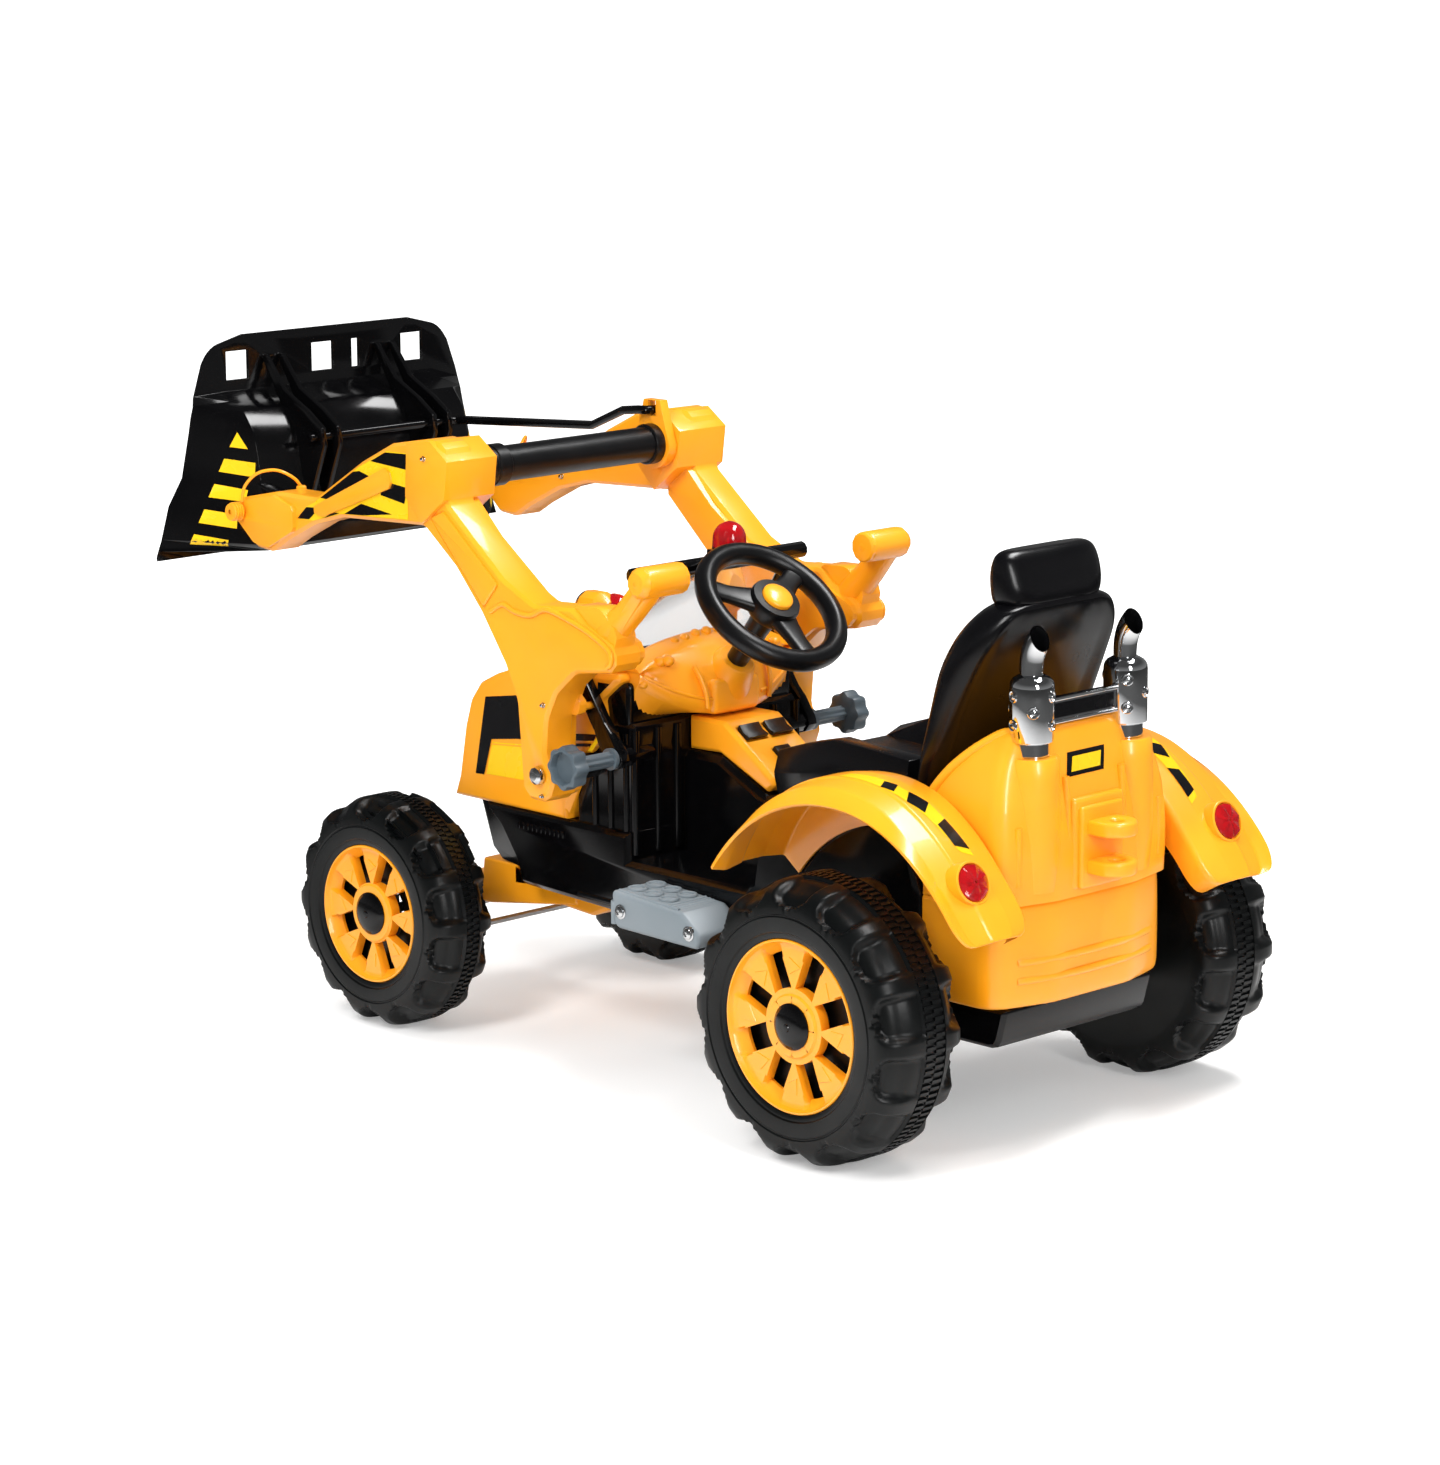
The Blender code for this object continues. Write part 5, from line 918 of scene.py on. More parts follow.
HOOD_BLACK = [
    [(-0.2050, 0.3870), (-0.1835, 0.3905), (-0.1525, 0.3956), (-0.0660, 0.4010), (-0.0660, 0.3520), (-0.1515, 0.3450),
     (-0.1955, 0.3385), (-0.2095, 0.2950), (-0.2245, 0.2940)],
    [(-0.0496, 0.3652), (-0.0150, 0.3692), (-0.0204, 0.3613), (-0.0537, 0.3567)],
    [(-0.0551, 0.3533), (-0.0236, 0.3577), (-0.0270, 0.3538), (-0.0584, 0.3494)],
    [(-0.0129, 0.4126), (0.0080, 0.4300), (-0.0119, 0.4294)],
]
HOOD_LEMON = [
    [(-0.1940, 0.3352), (-0.0600, 0.3475), (-0.0600, 0.3458), (-0.1946, 0.3335)],
    [(-0.2055, 0.2960), (-0.1952, 0.3318), (-0.0600, 0.3440), (-0.0600, 0.3010)],
    [(-0.0120, 0.3690), (-0.0060, 0.3690), (-0.0240, 0.3480), (-0.0310, 0.3480)],
]
FENDER_BLACK = [
    [(0.1834, 0.5092, 0.3882), (0.1760, 0.5295, 0.3766), (0.1925, 0.5400, 0.3700), (0.2000, 0.5210, 0.3800)],
    [(0.1751, 0.5515, 0.3639), (0.1722, 0.5844, 0.3369), (0.1887, 0.5786, 0.3421), (0.1900, 0.5560, 0.3610)],
    [(0.1880, 0.4780, 0.3940), (0.1830, 0.4930, 0.3920), (0.1990, 0.5020, 0.3880), (0.2040, 0.4870, 0.3900)],
]
FENDER_LEMON = [
    [(0.1880, 0.4300, 0.3960), (0.1850, 0.4700, 0.3950), (0.1834, 0.5092, 0.3882), (0.1760, 0.5295, 0.3766),
     (0.1751, 0.5515, 0.3639), (0.1749, 0.5704, 0.3509), (0.1722, 0.5844, 0.3369), (0.1720, 0.5900, 0.3310),
     (0.1860, 0.5850, 0.3360), (0.1887, 0.5786, 0.3421), (0.1920, 0.5637, 0.3562), (0.1950, 0.5423, 0.3687),
     (0.2000, 0.5210, 0.3800), (0.2040, 0.4870, 0.3900), (0.2050, 0.4300, 0.3960)],
]


def sided(patches, side):
    """Patches of the left side, kept there or taken to the right."""
    return [[(side * x, y, z) for x, y, z in corners] for corners in patches]


def make_films():
    """Lemon films with black patches on forearms, hood, fenders and the bucket's flares."""
    loader = {hand: body_of[f"boom_{hand}"] for hand, side in SIDES}
    chassis = {hand: body_of["hood"] for hand, side in SIDES}
    flat_film("forearm_lemon", 0.2134, [FOREARM_BASE], "label_lemon", loader)
    flat_film("forearm_black", 0.2137, FOREARM_BLACK, "label_black", loader)
    flat_film("hood_lemon", 0.1409, HOOD_LEMON, "label_lemon", chassis)
    flat_film("hood_black", 0.1411, HOOD_BLACK, "label_black", chassis)
    for hand, side in SIDES:
        film(f"flare_stripes_{hand}", sided(FLARE_STRIPES, side), (-0.7 * side, -0.68, -0.2), shells["bucket"],
             "label_lemon", body_of["bucket"], lift=0.0012, cell=0.004)
        node = f"fender_{hand}"
        down = (-0.1 * side, -0.45, -0.85)
        film(f"{node}_lemon", sided(FENDER_LEMON, side), down, fenders[node], "label_lemon", body_of[node], 0.0004)
        film(f"{node}_black", sided(FENDER_BLACK, side), down, fenders[node], "label_black", body_of[node], 0.0007)


# Rear cowl, bumper and hitch

def plan_ring(front, corner, rear, half, z, curve):
    """Ring seen from above: straight front, rounded rear corners and a gently bowed back."""
    line = eased([(-half, front, 0.004), (half, front, 0.004), (half, corner, curve), (half * 0.45, rear, 0.08),
                  (-half * 0.45, rear, 0.08), (-half, corner, curve)], 6)
    return [(x, y - FRAME_CENTRE, z) for x, y in line]


def pierced(outline, holes, low, high, edge):
    """Flat plate (x, y) with holes, from one height to another, its rims rolled over."""
    bm = bmesh.new()
    for loop in [outline] + holes:
        verts = [bm.verts.new((x, y, low)) for x, y in loop]
        for first, second in zip(verts, verts[1:] + verts[:1]):
            bm.edges.new((first, second))
    bmesh.ops.triangle_fill(bm, use_beauty=True, edges=bm.edges[:])
    grown = bmesh.ops.extrude_face_region(bm, geom=bm.faces[:])["geom"]
    bmesh.ops.translate(bm, vec=(0, 0, high - low), verts=[v for v in grown if isinstance(v, bmesh.types.BMVert)])
    bmesh.ops.recalc_face_normals(bm, faces=bm.faces)
    rims = [e for e in bm.edges if e.is_manifold and e.calc_face_angle(0.0) > 1.0]
    bmesh.ops.bevel(bm, geom=rims, offset=edge, segments=3, profile=0.5, affect="EDGES", material=-1,
                    clamp_overlap=True)
    return bm


# Rows of the cowl and of the bumper: height, front, corner, rear, half-width.
COWL_ROWS = (
    (0.2688, 0.4965, 0.604, 0.621, 0.1357), (0.300, 0.4965, 0.606, 0.622, 0.1354),
    (0.330, 0.4965, 0.606, 0.622, 0.1345), (0.367, 0.4965, 0.603, 0.618, 0.1315),
    (0.392, 0.508, 0.599, 0.614, 0.1255), (0.412, 0.527, 0.595, 0.611, 0.1175),
    (0.430, 0.548, 0.592, 0.607, 0.1070), (0.443, 0.566, 0.589, 0.602, 0.0960),
    (0.4490, 0.577, 0.587, 0.597, 0.0860))
BUMPER_ROWS = (
    (0.1573, 0.4955, 0.590, 0.6105, 0.1300), (0.1590, 0.4955, 0.594, 0.6145, 0.1335),
    (0.1640, 0.4955, 0.596, 0.6165, 0.1352), (0.180, 0.4955, 0.597, 0.6178, 0.1357),
    (0.225, 0.4955, 0.597, 0.6180, 0.1357), (0.2600, 0.4955, 0.596, 0.6172, 0.1355),
    (0.2655, 0.4955, 0.595, 0.6160, 0.1348), (0.2680, 0.4955, 0.593, 0.6140, 0.1330))
BEADS = ((-0.104, 0.6035), (-0.098, 0.6060), (-0.075, 0.6115), (-0.045, 0.6163), (-0.020, 0.6176),
         (0.020, 0.6176), (0.045, 0.6163), (0.075, 0.6115), (0.098, 0.6060), (0.104, 0.6035))
COWL_LIP = ((0.1325, 0.4990, 0.352), (0.1300, 0.5030, 0.374), (0.1225, 0.5200, 0.400), (0.1120, 0.5400, 0.421),
            (0.1000, 0.5590, 0.4365), (0.0900, 0.5730, 0.4450), (0.0800, 0.5850, 0.4440))
COWL_RIBS = ((0.0435, 0.6195, 0.292, 0.398), (0.1100, 0.6105, 0.290, 0.352))     # x, reach, bottom, top
PLATE_AIM = (0, -1, -0.1)
PLATE_FRAME = [(0.0357, 0.5962, 0.4213), (-0.0225, 0.5962, 0.4216), (-0.0176, 0.6009, 0.3967),
               (0.0407, 0.6010, 0.3962)]
PLATE_FIELD = [(0.0290, 0.5985, 0.4165), (-0.0160, 0.5985, 0.4168), (-0.0120, 0.6015, 0.4015),
               (0.0330, 0.6015, 0.4010)]
HITCH_BACK = 0.6223 - FRAME_CENTRE
HITCH_PIN = 0.645 - FRAME_CENTRE
TONGUE_HALF = 0.0080


def wrapped(rows, steps, curve):
    """Closed shell through rows seen from above."""
    return skin([plan_ring(front, corner, rear, half, z, curve)
                 for z, front, corner, rear, half in flowing(rows, steps)])


def make_cowl():
    """Cowl with the two swellings under the stacks, a rolled lip, ribs and the hitch's raised field."""
    shapes = [wrapped(COWL_ROWS, 4, 0.022)]
    for side in (LEFT, RIGHT):
        path = [(side * STACK.x, STACK.y, 0.4216), (side * STACK.x, STACK.y, 0.4190),
                (side * STACK.x, STACK.y, 0.400), (side * STACK.x, STACK.y - 0.001, 0.365),
                (side * (STACK.x - 0.001), STACK.y - 0.004, 0.325), (side * (STACK.x - 0.002), STACK.y - 0.010, 0.285)]
        shapes.append(tube(path, [0.0268, 0.0290, 0.0300, 0.0315, 0.0345, 0.0370], 40))
        edge = [(side * x, y - FRAME_CENTRE, z) for x, y, z in flowing(COWL_LIP, 5)]
        shapes.append(tube(edge, 0.0052, 16))
        for x, reach, bottom, top in COWL_RIBS:
            rib = []
            for z in between(bottom, top, 8):
                y = reach - FRAME_CENTRE - 0.001 - 0.035 * max(0.0, z - 0.33) - 0.0030 * abs(z * 10 % 1 - 0.5)
                rib.append((side * x, y, z))
            shapes.append(tube(rib, 0.0042, 14))
    shapes.append(box_shape((0.080, 0.012, 0.098), (0, 0.6215 - FRAME_CENTRE - 0.0035, 0.3250), 0.0055, 4))
    return piece("rear_cowl_shape", merged(*shapes), body_of["rear_cowl"], "yellow_shell", ("rear_cowl",), 40.0)


def make_bumper():
    """Lower wrap with its two raised beads."""
    shapes = [wrapped(BUMPER_ROWS, 3, 0.030)]
    for z in (0.187, 0.207):
        shapes.append(tube([(x, y - FRAME_CENTRE, z) for x, y in flowing(BEADS, 4)], 0.0044, 14))
    piece("rear_bumper_shape", merged(*shapes), body_of["rear_bumper"], "yellow_shell", ("rear_bumper",), 40.0)


def make_hitch():
    """Flange with two tongues that a pin goes through."""
    shapes = [box_shape((0.066, 0.009, 0.088), (0, HITCH_BACK + 0.0025, 0.3210), 0.0035)]
    hole = [(0.0075 * math.cos(a), HITCH_PIN + 0.003 + 0.0075 * math.sin(a)) for a in between(0.0, math.tau, 24)[:-1]]
    tongue = [(0.0245 * math.cos(a), HITCH_PIN + 0.0240 * math.sin(a)) for a in between(0.0, math.pi, 24)]
    outline = [(0.0245, HITCH_BACK)] + tongue + [(-0.0245, HITCH_BACK)]
    for middle in (0.3000, 0.3420):
        shapes.append(pierced(outline, [hole], middle - TONGUE_HALF, middle + TONGUE_HALF, 0.0034))
    piece("tow_hitch_shape", merged(*shapes), body_of["tow_hitch"], "yellow_shell", ("tow_hitch",), 40.0)


def make_rear_plate(cowl):
    """Bare plate on the cowl: a black edge with a lemon field."""
    body = body_of["rear_cowl"]
    film("rear_plate", [PLATE_FRAME], PLATE_AIM, cowl, "label_black", body, 0.0004)
    film("rear_plate_field", [PLATE_FIELD], PLATE_AIM, cowl, "label_lemon", body, 0.0008)


# Boom grips and hood nose

GRIP_RADIUS = 0.0178
GRIP_HEIGHT = 0.5645
NOSE_HALF = 0.1404


def make_grips():
    """Capsule grips on stout arms that grow out of the booms' shoulders."""
    r = GRIP_RADIUS
    for hand, side in SIDES:
        ends = [(0.1410 + 0.008 * (1 - math.sin(a)), r * math.cos(a)) for a in between(0.0, 1.45, 6)][::-1]
        ends += [(0.2100 - 0.013 * (1 - math.sin(a)), r * math.cos(a)) for a in between(0.0, 1.45, 8)]
        grip = placed(spun(ends, 40), (0, 0.139 - FRAME_CENTRE, GRIP_HEIGHT))
        line = [(0.190, 0.0560, 0.4880), (0.190, 0.0760, 0.5110), (0.188, 0.0950, 0.5290), (0.185, 0.1220, 0.5600)]
        arm = tube(flowing(line, 4), [0.0205 - 0.0042 * min(1.0, i / 7) for i in range(13)], 32)
        piece(f"boom_{hand}_grip", on_side(merged(grip, arm), side), body_of[f"boom_{hand}"], "yellow_shell", (), 40.0)


def make_nose():
    """The hood's front face, and four louvres laid along its slope."""
    outline = eased([(-0.2645, 0.2630, 0.0), (-0.2550, 0.2880, 0.02), (-0.2435, 0.3480, 0.02),
                     (-0.2330, 0.3800, 0.02), (-0.2150, 0.4030, 0.015), (-0.1880, 0.4160, 0.02),
                     (-0.1600, 0.4255, 0.03), (-0.0700, 0.4335, 0.0), (-0.0700, 0.2630, 0.0)], 5)
    piece("hood_nose", slab(outline, -NOSE_HALF, NOSE_HALF, 0.005), body_of["hood"], "yellow_shell", (), 30.0)
    low, high = Vector((0, -0.2560, 0.2950)), Vector((0, -0.2375, 0.3720))
    slats = [box_shape((0.150, 0.006, 0.010), low.lerp(high, k / 3), 0.0015, 2) for k in range(4)]
    piece("nose_louvres", merged(*slats), body_of["hood"], "black_trim", (), 30.0)


# Dash and pedestal

def mound(spot, radius, height):
    """A low round bump."""
    bm = bmesh.new()
    bmesh.ops.create_uvsphere(bm, u_segments=20, v_segments=10, radius=1.0)
    bmesh.ops.scale(bm, vec=(radius, radius, height), verts=bm.verts)
    bmesh.ops.translate(bm, vec=spot, verts=bm.verts)
    return bm


DASH_HALF = 0.1200
CLUSTER_STUDS = ((0.052, 0.0190, 0.4675), (0.0372, 0.0200, 0.4699), (0.0200, 0.0193, 0.4726),
                 (0.0030, 0.0198, 0.4737), (-0.0150, 0.0200, 0.4728), (-0.0340, 0.0200, 0.4702))
SIDE_STUDS = ((0.0900, 0.0360, 0.4520), (0.0830, 0.0420, 0.4530), (0.1130, 0.0330, 0.4300))
DASH_ARC = ((0.0560, 0.0560, 0.4450), (0.0530, 0.0640, 0.4300), (0.0500, 0.0690, 0.4130), (0.0480, 0.0690, 0.3980))


def dash_section(t):
    """Side line of the dash at a share of its half-width, from its lower rear edge over the top to the front."""
    swell = math.sqrt(max(0.0, 1 - 0.75 * t * t))
    crest = 0.430 + 0.045 * swell
    low_z = 0.387 + 0.038 * abs(t) ** 2.4
    low_y = 0.064 - 0.036 * abs(t) ** 2.4
    return [(low_y, low_z), (low_y + 0.0052, low_z + 0.006), (low_y + 0.0062, low_z + 0.016),
            (low_y - 0.004, (low_z + crest) / 2 + 0.004), (0.0345, crest - 0.010), (0.0125, crest),
            (-0.0055, crest - 0.010), (-0.0155, 0.4465), (-0.0480, 0.4405)]


def make_dash():
    """Dash with the column's boss, studs and creases."""
    rings = []
    for t in between(-1.0, 1.0, 36):
        x = DASH_HALF * t
        line = [(x, y, z) for y, z in flowing(dash_section(t), 4)]
        rings.append(line + [(x, -0.0480, 0.3860), (x, 0.0200, 0.3860)])
    boss = [(-0.040, 0.0370), (-0.022, 0.0320), (-0.004, 0.0255), (0.0035, 0.0230), (0.0060, 0.0205), (0.0055, 0.0)]
    shapes = [skin(rings), placed(spun(boss, 40), COLUMN_BASE, WHEEL_AXIS),
              box_shape((0.074, 0.026, 0.040), (0.004, 0.0590, 0.4080), 0.0075, 4)]
    shapes += [mound(spot, 0.0062, 0.0060) for spot in CLUSTER_STUDS]
    for side in (LEFT, RIGHT):
        shapes += [mound((side * x, y, z), 0.0068, 0.0062) for x, y, z in SIDE_STUDS]
        shapes.append(tube(flowing([(side * x, y, z) for x, y, z in DASH_ARC], 4), 0.0028, 12))
        edge = []
        for t in between(0.30, 0.97, 12):
            y, z = dash_section(t)[2]
            edge.append((side * DASH_HALF * t, y - 0.0006, z + 0.001))
        shapes.append(tube(edge, 0.0022, 12))
    piece("dash_panel_shape", merged(*shapes), body_of["dash_panel"], "yellow_shell", ("dash_panel",), 40.0)


def make_pedestal_ribs():
    """Black block under the dash, upright ribs on the pedestal, teeth on the hood's lower edge and the tub's sill."""
    shapes = [box_shape((0.2560, 0.0880, 0.0560), (0, -0.0190, 0.4020), 0.006)]
    for side in (LEFT, RIGHT):
        for y in (-0.030, -0.004, 0.022):
            shapes.append(tube([(side * 0.1300, y, 0.236), (side * 0.1300, y, 0.374)], 0.0040, 14))
        for x in (0.126, 0.092, 0.062):
            shapes.append(tube([(side * x, 0.0325, 0.236), (side * x, 0.0325, 0.378)], 0.0052, 14))
        for k in range(11):
            spot = (side * 0.1404, -0.150 + 0.0075 * k, 0.2440)
            shapes.append(box_shape((0.003, 0.0035, 0.0075), spot, 0.0006, 1))
        sill = [(side * 0.1385, y, z) for y, z in ((-0.0500, 0.1790), (0.1500, 0.1770), (0.3200, 0.1750))]
        shapes.append(tube(flowing(sill, 4), 0.0042, 12))
    piece("pedestal_ribs", merged(*shapes), body_of["chassis_shell"], "black_shell", (), 40.0)


# Smaller fittings

def bolt_head(spot, radius, out=X_AXIS):
    """Domed bolt on a washer."""
    profile = [(-0.002, radius * 1.35), (0.0008, radius * 1.35), (0.0012, radius * 1.25), (0.0012, radius),
               (0.0030, radius * 0.98), (0.0042, radius * 0.80), (0.0048, radius * 0.45), (0.0034, radius * 0.40),
               (0.0034, radius * 0.10)]
    return placed(spun(profile, 24), Vector(spot), out)


KNOB_CENTRE = (0.0397 - FRAME_CENTRE, 0.3496)
FLUTES = 8
# Along the shaft: x, radius, depth of the flutes as a share of the radius.
KNOB_ROWS = ((0.2085, 0.0120, 0.0), (0.2100, 0.0190, 0.04), (0.2120, 0.0228, 0.07), (0.2150, 0.0236, 0.08),
             (0.2280, 0.0236, 0.08), (0.2305, 0.0228, 0.07), (0.2315, 0.0205, 0.05), (0.2312, 0.0185, 0.03),
             (0.2290, 0.0178, 0.02), (0.2230, 0.0172, 0.02), (0.2222, 0.0150, 0.0), (0.2222, 0.0040, 0.0))
ROD_ROWS = ((0.1210, 0.0040, 0.0), (0.1550, 0.0040, 0.0), (0.1553, 0.0120, 0.0), (0.1600, 0.0125, 0.0),
            (0.1605, 0.0085, 0.09), (0.2090, 0.0085, 0.09))


def fluted(rows, steps):
    """Closed turned shape along X whose rings swell and sink in flutes."""
    y, z = KNOB_CENTRE
    rings = []
    for x, size, wave in rows:
        ring = []
        for a in between(0.0, math.tau, steps)[:-1]:
            reach = size * (1 + wave * math.cos(FLUTES * a))
            ring.append((x, y + reach * math.cos(a), z + reach * math.sin(a)))
        rings.append(ring)
    return skin(rings)


def make_knobs():
    """Fluted knobs, each on its stepped rod."""
    for hand, side in SIDES:
        node = f"knob_{hand}"
        shape = on_side(merged(fluted(KNOB_ROWS, 96), fluted(ROD_ROWS, 64)), side)
        piece(f"{node}_shape", shape, body_of[node], "knob_moulding", (node,), 35.0)


def make_steps():
    """Raised lines, rings and ribs on the footsteps, and two bolts on each."""
    circle = between(0.0, math.tau, 8)[:-1]
    ring = [(0.0024 * math.cos(a), 0.0098 + 0.0022 * math.sin(a)) for a in circle]
    for hand, side in SIDES:
        node = f"footstep_{hand}"
        relief = [tube([(side * 0.2050, 0.0900, 0.2180), (side * 0.2050, 0.1850, 0.2115)], 0.0022, 10),
                  tube([(side * 0.2070, 0.0840, 0.2060), (side * 0.2070, 0.0840, 0.1800)], 0.0045, 10)]
        for x in (0.1575, 0.1850):
            for y in (0.0980, 0.1230, 0.1480):
                spot = Vector((side * x, y, 0.2183 - (y - 0.0920) * 0.0690))
                relief.append(placed(spun(ring, 28, closed=True), spot, Z_AXIS))
        for k in range(4):
            y, z = 0.1650 + 0.0060 * k, 0.2123 - 0.0008 * k
            relief.append(tube([(side * 0.1450, y, z), (side * 0.2050, y, z)], 0.0022, 10))
        piece(f"{node}_relief", merged(*relief), body_of[node], "grey_moulding", (), 40.0)
        bolts = [bolt_head((0.2108, 0.0975, 0.1960), 0.0062), bolt_head((0.2108, 0.2060, 0.1900), 0.0062)]
        piece(f"{node}_bolts", on_side(merged(*bolts), side), body_of[node], "bolt_steel", (), 35.0)


# Raised lines on the boom's outer face, as (y, z).
LEG_PANEL = eased([(-0.2098, 0.6029, 0.004), (-0.1871, 0.6130, 0.004), (-0.0951, 0.5395, 0.004),
                   (-0.1203, 0.5099, 0.004)], 3)
SHOULDER_BORDER = ((-0.1094, 0.5070), (-0.0885, 0.5180), (-0.0682, 0.5120), (-0.0417, 0.5110), (-0.0193, 0.5200),
                   (0.0008, 0.5185), (0.0483, 0.5054), (0.0850, 0.4880), (0.0890, 0.4740), (0.0829, 0.4680))
BOOM_TIP = Vector((0.0, -0.539 - FRAME_CENTRE, 0.576))
# The tether of the tip's cap, as (x, y and z from the tip).
TETHER = ((0.2215, 0.006, 0.012), (0.2200, 0.010, 0.030), (0.2120, 0.024, 0.046), (0.1960, 0.040, 0.050),
          (0.1780, 0.050, 0.040), (0.1680, 0.052, 0.028))
PLUG = ((0.0, 0.0035), (0.0, 0.0070), (0.0040, 0.0078), (0.0060, 0.0060), (0.0085, 0.0060), (0.0100, 0.0045),
        (0.0102, 0.001))
OUTER_SCREWS = (((0.2182, -0.2150, 0.6700), 0.0024), ((0.2132, -0.0230, 0.4120), 0.0024),
                ((0.2132, -0.0270, 0.3080), 0.0018))
INNER_SCREWS = ((-0.1698, -0.3550, 0.6180), (-0.1698, -0.3050, 0.6350), (-0.1698, -0.4150, 0.5900))


def make_boom_relief():
    """Raised panel down the leg, the border over the shoulder, screws, and the tethered cap at the tip."""
    ribbed = [(0.2196, 0.0068), (0.2200, 0.0088)]
    for k in range(3):
        start = 0.2205 + 0.0038 * k
        ribbed += [(start, 0.0100), (start + 0.0016, 0.0112), (start + 0.0030, 0.0112), (start + 0.0038, 0.0096)]
    ribbed += [(0.2335, 0.0104), (0.2350, 0.0096), (0.2352, 0.0030)]
    border = flowing([(0.2132, y, z) for y, z in SHOULDER_BORDER], 4)
    tether = flowing([(x, BOOM_TIP.y + y, BOOM_TIP.z + z) for x, y, z in TETHER], 6)
    plug_spot = Vector((0.1680, BOOM_TIP.y + 0.052, BOOM_TIP.z + 0.020))
    for hand, side in SIDES:
        node = f"boom_{hand}"
        relief = merged(slab(LEG_PANEL, 0.2120, 0.2156, 0.0030), tube(border, 0.0032, 12),
                        placed(spun(ribbed, 32), BOOM_TIP), tube(tether, 0.0019, 12),
                        placed(spun(PLUG, 24), plug_spot, Z_AXIS))
        piece(f"{node}_relief", on_side(relief, side), body_of[node], "yellow_shell", (), 38.0)
        screws = merged(*[bolt_head(spot, radius) for spot, radius in OUTER_SCREWS],
                        *[flipped(bolt_head(spot, 0.0024)) for spot in INNER_SCREWS])
        piece(f"{node}_screws", on_side(screws, side), body_of[node], "bolt_steel", (), 35.0)


def make_skid():
    """Stepped cover over the skid."""
    outline = eased([(-0.0960, 0.1510, 0.004), (-0.1000, 0.1720, 0.003), (-0.2000, 0.1640, 0.0),
                     (-0.2000, 0.1820, 0.003), (-0.2600, 0.1820, 0.004), (-0.2640, 0.1520, 0.0),
                     (-0.3250, 0.1500, 0.004), (-0.3250, 0.1250, 0.005), (-0.2495, 0.1280, 0.01)], 3)
    piece("front_skid_cover", slab(outline, -0.1010, 0.1010, 0.003), body_of["front_skid"], "yellow_shell", (), 30.0)


def make_lenses():
    """Headlight lenses in chrome rings, and a red dome on the back of the left pod that paints the shade of its yellow
    housing.
    """
    body = body_of["hood"]
    ring = [(0.0, 0.0160), (0.0030, 0.0175), (0.0044, 0.0190), (0.0030, 0.0208), (0.0, 0.0212)]
    lens = [(0.0010, 0.0165)]
    lens += [(0.0010 + 0.0050 * math.sin(a), 0.0165 * math.cos(a)) for a in between(0.2, math.pi / 2, 5)]
    for hand, side in SIDES:
        spot = Vector((side * 0.095, -0.062 - FRAME_CENTRE, 0.500))
        for name, line, slot in (("ring", ring, "plated_plastic"), ("lens", lens, "clear_pane")):
            piece(f"headlight_{name}_{hand}", placed(spun(line, 40), spot, -Y_AXIS), body, slot, (), 40.0)
    # Red dome facing back on the left pod: painted shade, red standing in for the pod's yellow housing where it lies
    # in shade.
    glow = [(-0.0060, 0.0168)] + [(0.0160 * math.sin(a), 0.0168 * math.cos(a)) for a in between(0.1, math.pi / 2, 9)]
    piece("painted_shade_red_dome", placed(spun(glow, 40), Vector((0.082, -0.0440, 0.5020)), Y_AXIS), body, "lens_red")


def make_cross_tube():
    """Tube between the elbows, with a stepped collar at each end and a shallow slot band."""
    half = 0.1428
    line = [(-half, 0.0), (-half, 0.0240), (-0.1180, 0.0240), (-0.1165, 0.0228), (-0.1160, 0.0208),
            (0.1080, 0.0208), (0.1085, 0.0230), (0.1100, 0.0244), (0.1260, 0.0244), (0.1275, 0.0232),
            (0.1290, 0.0232), (0.1305, 0.0244), (half, 0.0244), (half, 0.0)]
    piece("cross_tube_shape", placed(spun(line, 48), Vector((0.0, -0.1956 - FRAME_CENTRE, 0.6537))),
          body_of["cross_tube"], "black_trim", ("cross_tube",), 30.0)


make_dash()
make_pedestal_ribs()
make_knobs()
make_steps()
make_boom_relief()
make_skid()
make_lenses()
make_cross_tube()
rear_cowl = make_cowl()
make_bumper()
make_hitch()
make_rear_plate(rear_cowl)
make_grips()
make_nose()
make_films()


# Floor, light and camera

ROOM_LEVEL = 0.62                   # strength of the even room light on matt surfaces


def show_white(tree, lit, level):
    """The lit paper with a pale glow added where the camera sees it, directly or through a clear piece."""
    path = add(tree, "LightPath")
    seen = add(tree, "Math", {0: path.outputs["Is Camera Ray"], 1: path.outputs["Is Transmission Ray"]},
               operation="MAXIMUM")
    strength = add(tree, "Math", {0: seen.outputs[0], 1: level}, operation="MULTIPLY")
    glow = add(tree, "Emission", {"Color": (1.0, 1.0, 1.0, 1.0), "Strength": strength.outputs[0]})
    return add(tree, "AddShader", {0: lit, 1: glow.outputs[0]}).outputs[0]


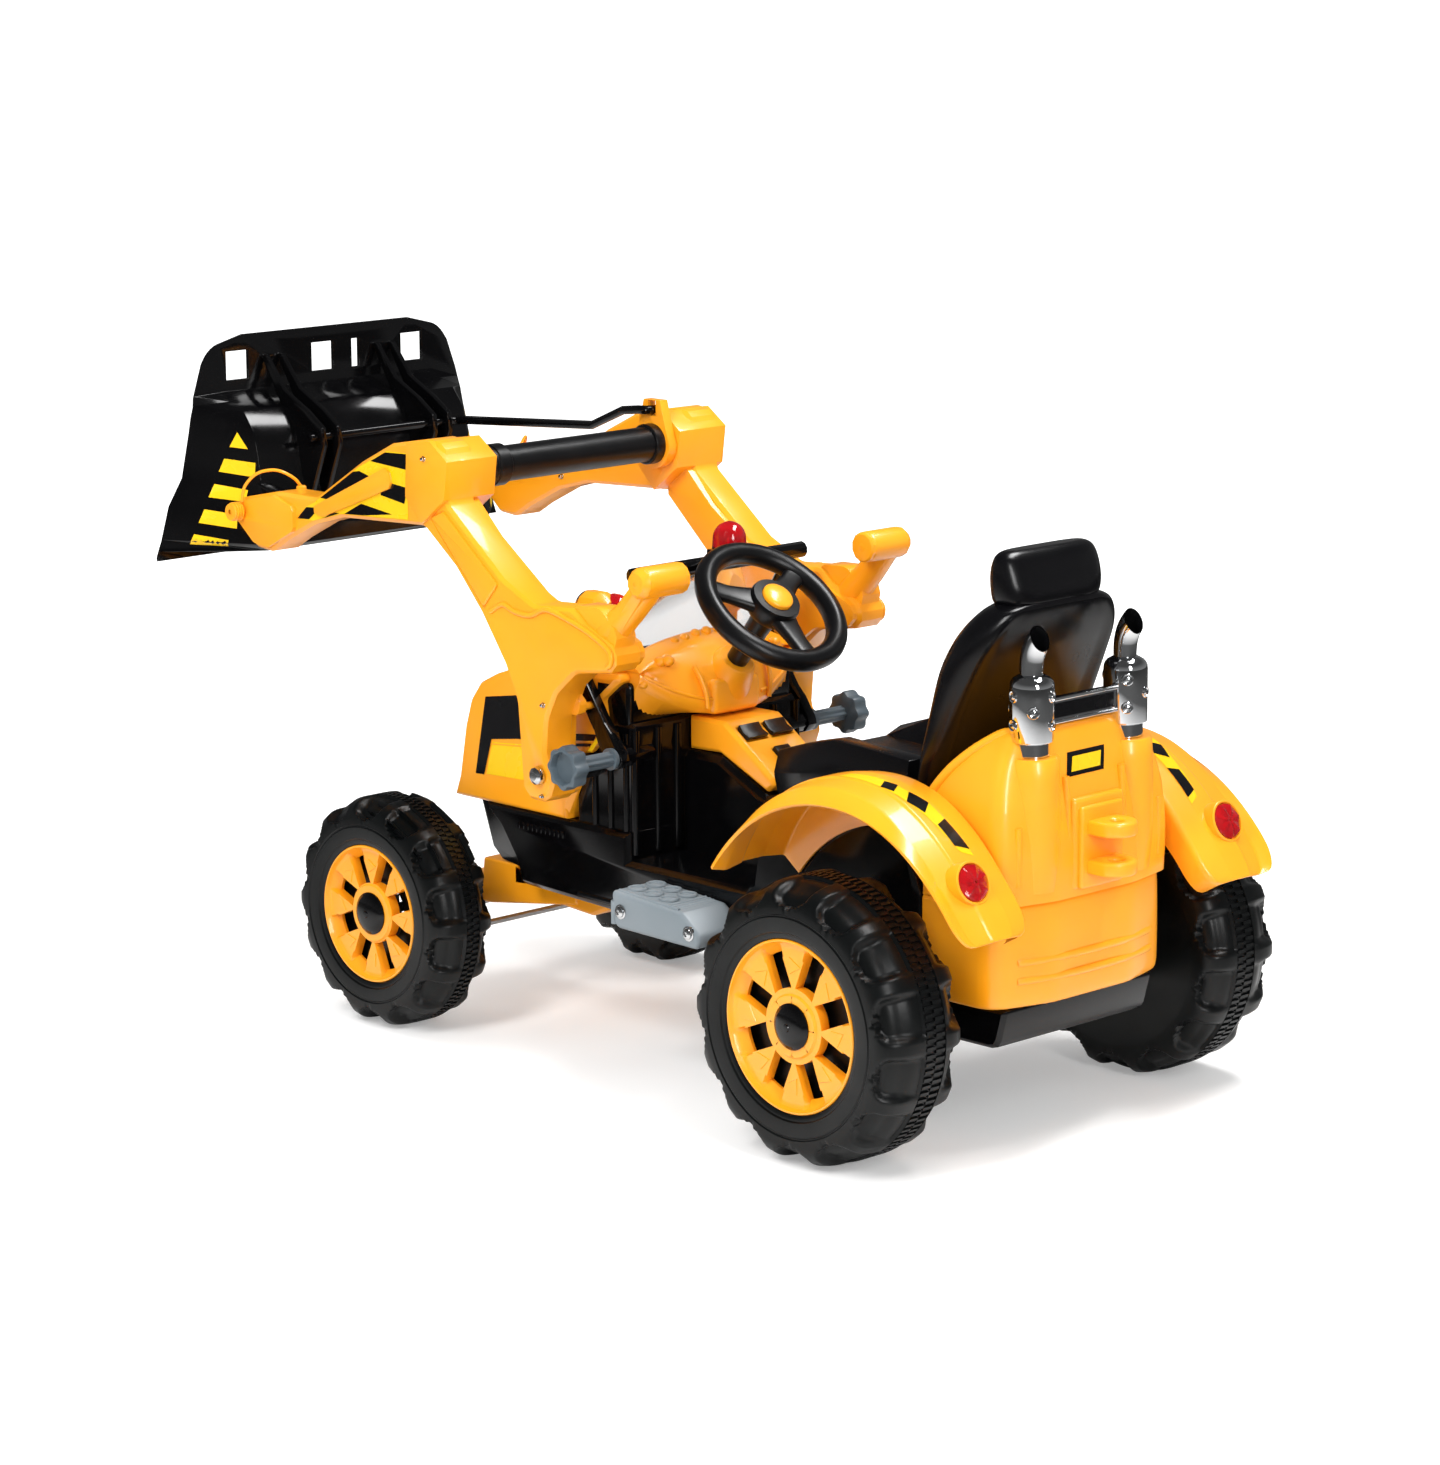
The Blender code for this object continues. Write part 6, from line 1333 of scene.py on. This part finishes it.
def make_floor():
    """Pale paper floor that fades to black in mirrors far out, so that gloss keeps its contrast."""
    bm = bmesh.new()
    bmesh.ops.create_grid(bm, x_segments=1, y_segments=1, size=30.0)
    mesh = bpy.data.meshes.new("studio_floor")
    bm.to_mesh(mesh)
    bm.free()
    floor = bpy.data.objects.new("studio_floor", mesh)
    bpy.context.scene.collection.objects.link(floor)
    mat, tree, shader = new_material("pale_studio_paper")
    tree.nodes.remove(shader)
    out = tree.nodes["Material Output"]
    coords = object_coords(tree)
    paper = mottled(tree, coords, "E6E5E4", "E9E9E8", 3.0)
    away = add(tree, "VectorMath", {0: coords}, operation="LENGTH").outputs["Value"]
    mirrored = add(tree, "LightPath").outputs["Is Glossy Ray"]
    past = add(tree, "MapRange", {"Value": away, "From Min": 0.7, "From Max": 1.6, "To Min": 0.0, "To Max": 0.92})
    dim = add(tree, "Math", {0: mirrored, 1: past.outputs["Result"]}, operation="MULTIPLY")
    paper = add(tree, "Mix", {"Factor": dim.outputs[0], "A": paper, "B": (0.0, 0.0, 0.0, 1.0)},
                data_type="RGBA").outputs["Result"]
    lit = add(tree, "BsdfDiffuse", {"Color": paper}).outputs[0]
    level = add(tree, "MapRange", {"Value": away, "From Min": 0.8, "From Max": 2.4, "To Min": 0.28, "To Max": 1.0})
    tree.links.new(show_white(tree, lit, level.outputs["Result"]), out.inputs["Surface"])
    mesh.materials.append(mat)


def make_world():
    """Even room light, brighter near the horizon in mirrors, and white behind the object."""
    world = bpy.data.worlds.new("studio")
    bpy.context.scene.world = world
    world.use_nodes = True
    tree = world.node_tree
    background = tree.nodes["Background"]
    path = add(tree, "LightPath")
    direction = add(tree, "TexCoord").outputs["Generated"]
    height = add(tree, "SeparateXYZ", {0: direction}).outputs["Z"]
    mirror = add(tree, "MapRange", {"Value": height, "From Min": 0.0, "From Max": 0.6, "To Min": 0.22, "To Max": 0.06})
    soft = add(tree, "Mix", {"Factor": path.outputs["Is Glossy Ray"], "A": ROOM_LEVEL, "B": mirror.outputs[0]},
               data_type="FLOAT")
    clear = add(tree, "Math", {0: path.outputs["Is Camera Ray"], 1: path.outputs["Is Transmission Ray"]},
                operation="MAXIMUM")
    level = add(tree, "Mix", {"Factor": clear.outputs[0], "A": soft.outputs[0], "B": 1.0}, data_type="FLOAT")
    tree.links.new(level.outputs[0], background.inputs["Strength"])
    background.inputs["Color"].default_value = (1.0, 1.0, 1.0, 1.0)


def softbox(name, spot, aim, size, watts, mirrored=True):
    """A rectangular lamp; one that isn't mirrored leaves no bright patch in the gloss."""
    lamp = bpy.data.lights.new(name, "AREA")
    lamp.shape = "RECTANGLE"
    lamp.size, lamp.size_y = size
    lamp.energy = watts
    obj = bpy.data.objects.new(name, lamp)
    bpy.context.scene.collection.objects.link(obj)
    obj.location = spot
    obj.visible_glossy = mirrored
    obj.rotation_mode = "QUATERNION"
    obj.rotation_quaternion = (Vector(aim) - Vector(spot)).to_track_quat("-Z", "Y")


def make_camera():
    """The photograph's place, height and framing."""
    place = Vector((3.42256, 3.60118, 1.36179))
    target = Vector((0.165, 0.21, 0.4069))
    turn = -0.0073
    back = (place - target).normalized()
    right = (-back).cross(Z_AXIS).normalized()
    up = right.cross(-back)
    side = right * math.cos(turn) + up * math.sin(turn)
    top = up * math.cos(turn) - right * math.sin(turn)
    data = bpy.data.cameras.new("photo_view")
    data.lens = 108.96
    data.sensor_width = 36.0
    camera = bpy.data.objects.new("photo_view", data)
    bpy.context.scene.collection.objects.link(camera)
    camera.matrix_world = Matrix.Translation(place) @ Matrix((side, top, back)).transposed().to_4x4()
    bpy.context.scene.camera = camera


make_floor()
make_world()
softbox("key", (2.4, 0.6, 2.4), aim=(0.0, 0.0, 0.35), size=(0.7, 1.5), watts=66.0, mirrored=False)
softbox("rear_fill", (0.9, 3.0, 1.5), aim=(0.0, 0.2, 0.35), size=(0.5, 1.6), watts=34.0)
softbox("front", (0.6, -2.6, 2.0), aim=(0.0, 0.0, 0.35), size=(1.4, 0.8), watts=26.0, mirrored=False)
softbox("top", (-0.8, 0.8, 2.6), aim=(0.0, 0.1, 0.3), size=(1.6, 0.5), watts=52.0)
make_camera()
bpy.context.scene.view_settings.view_transform = "Standard"
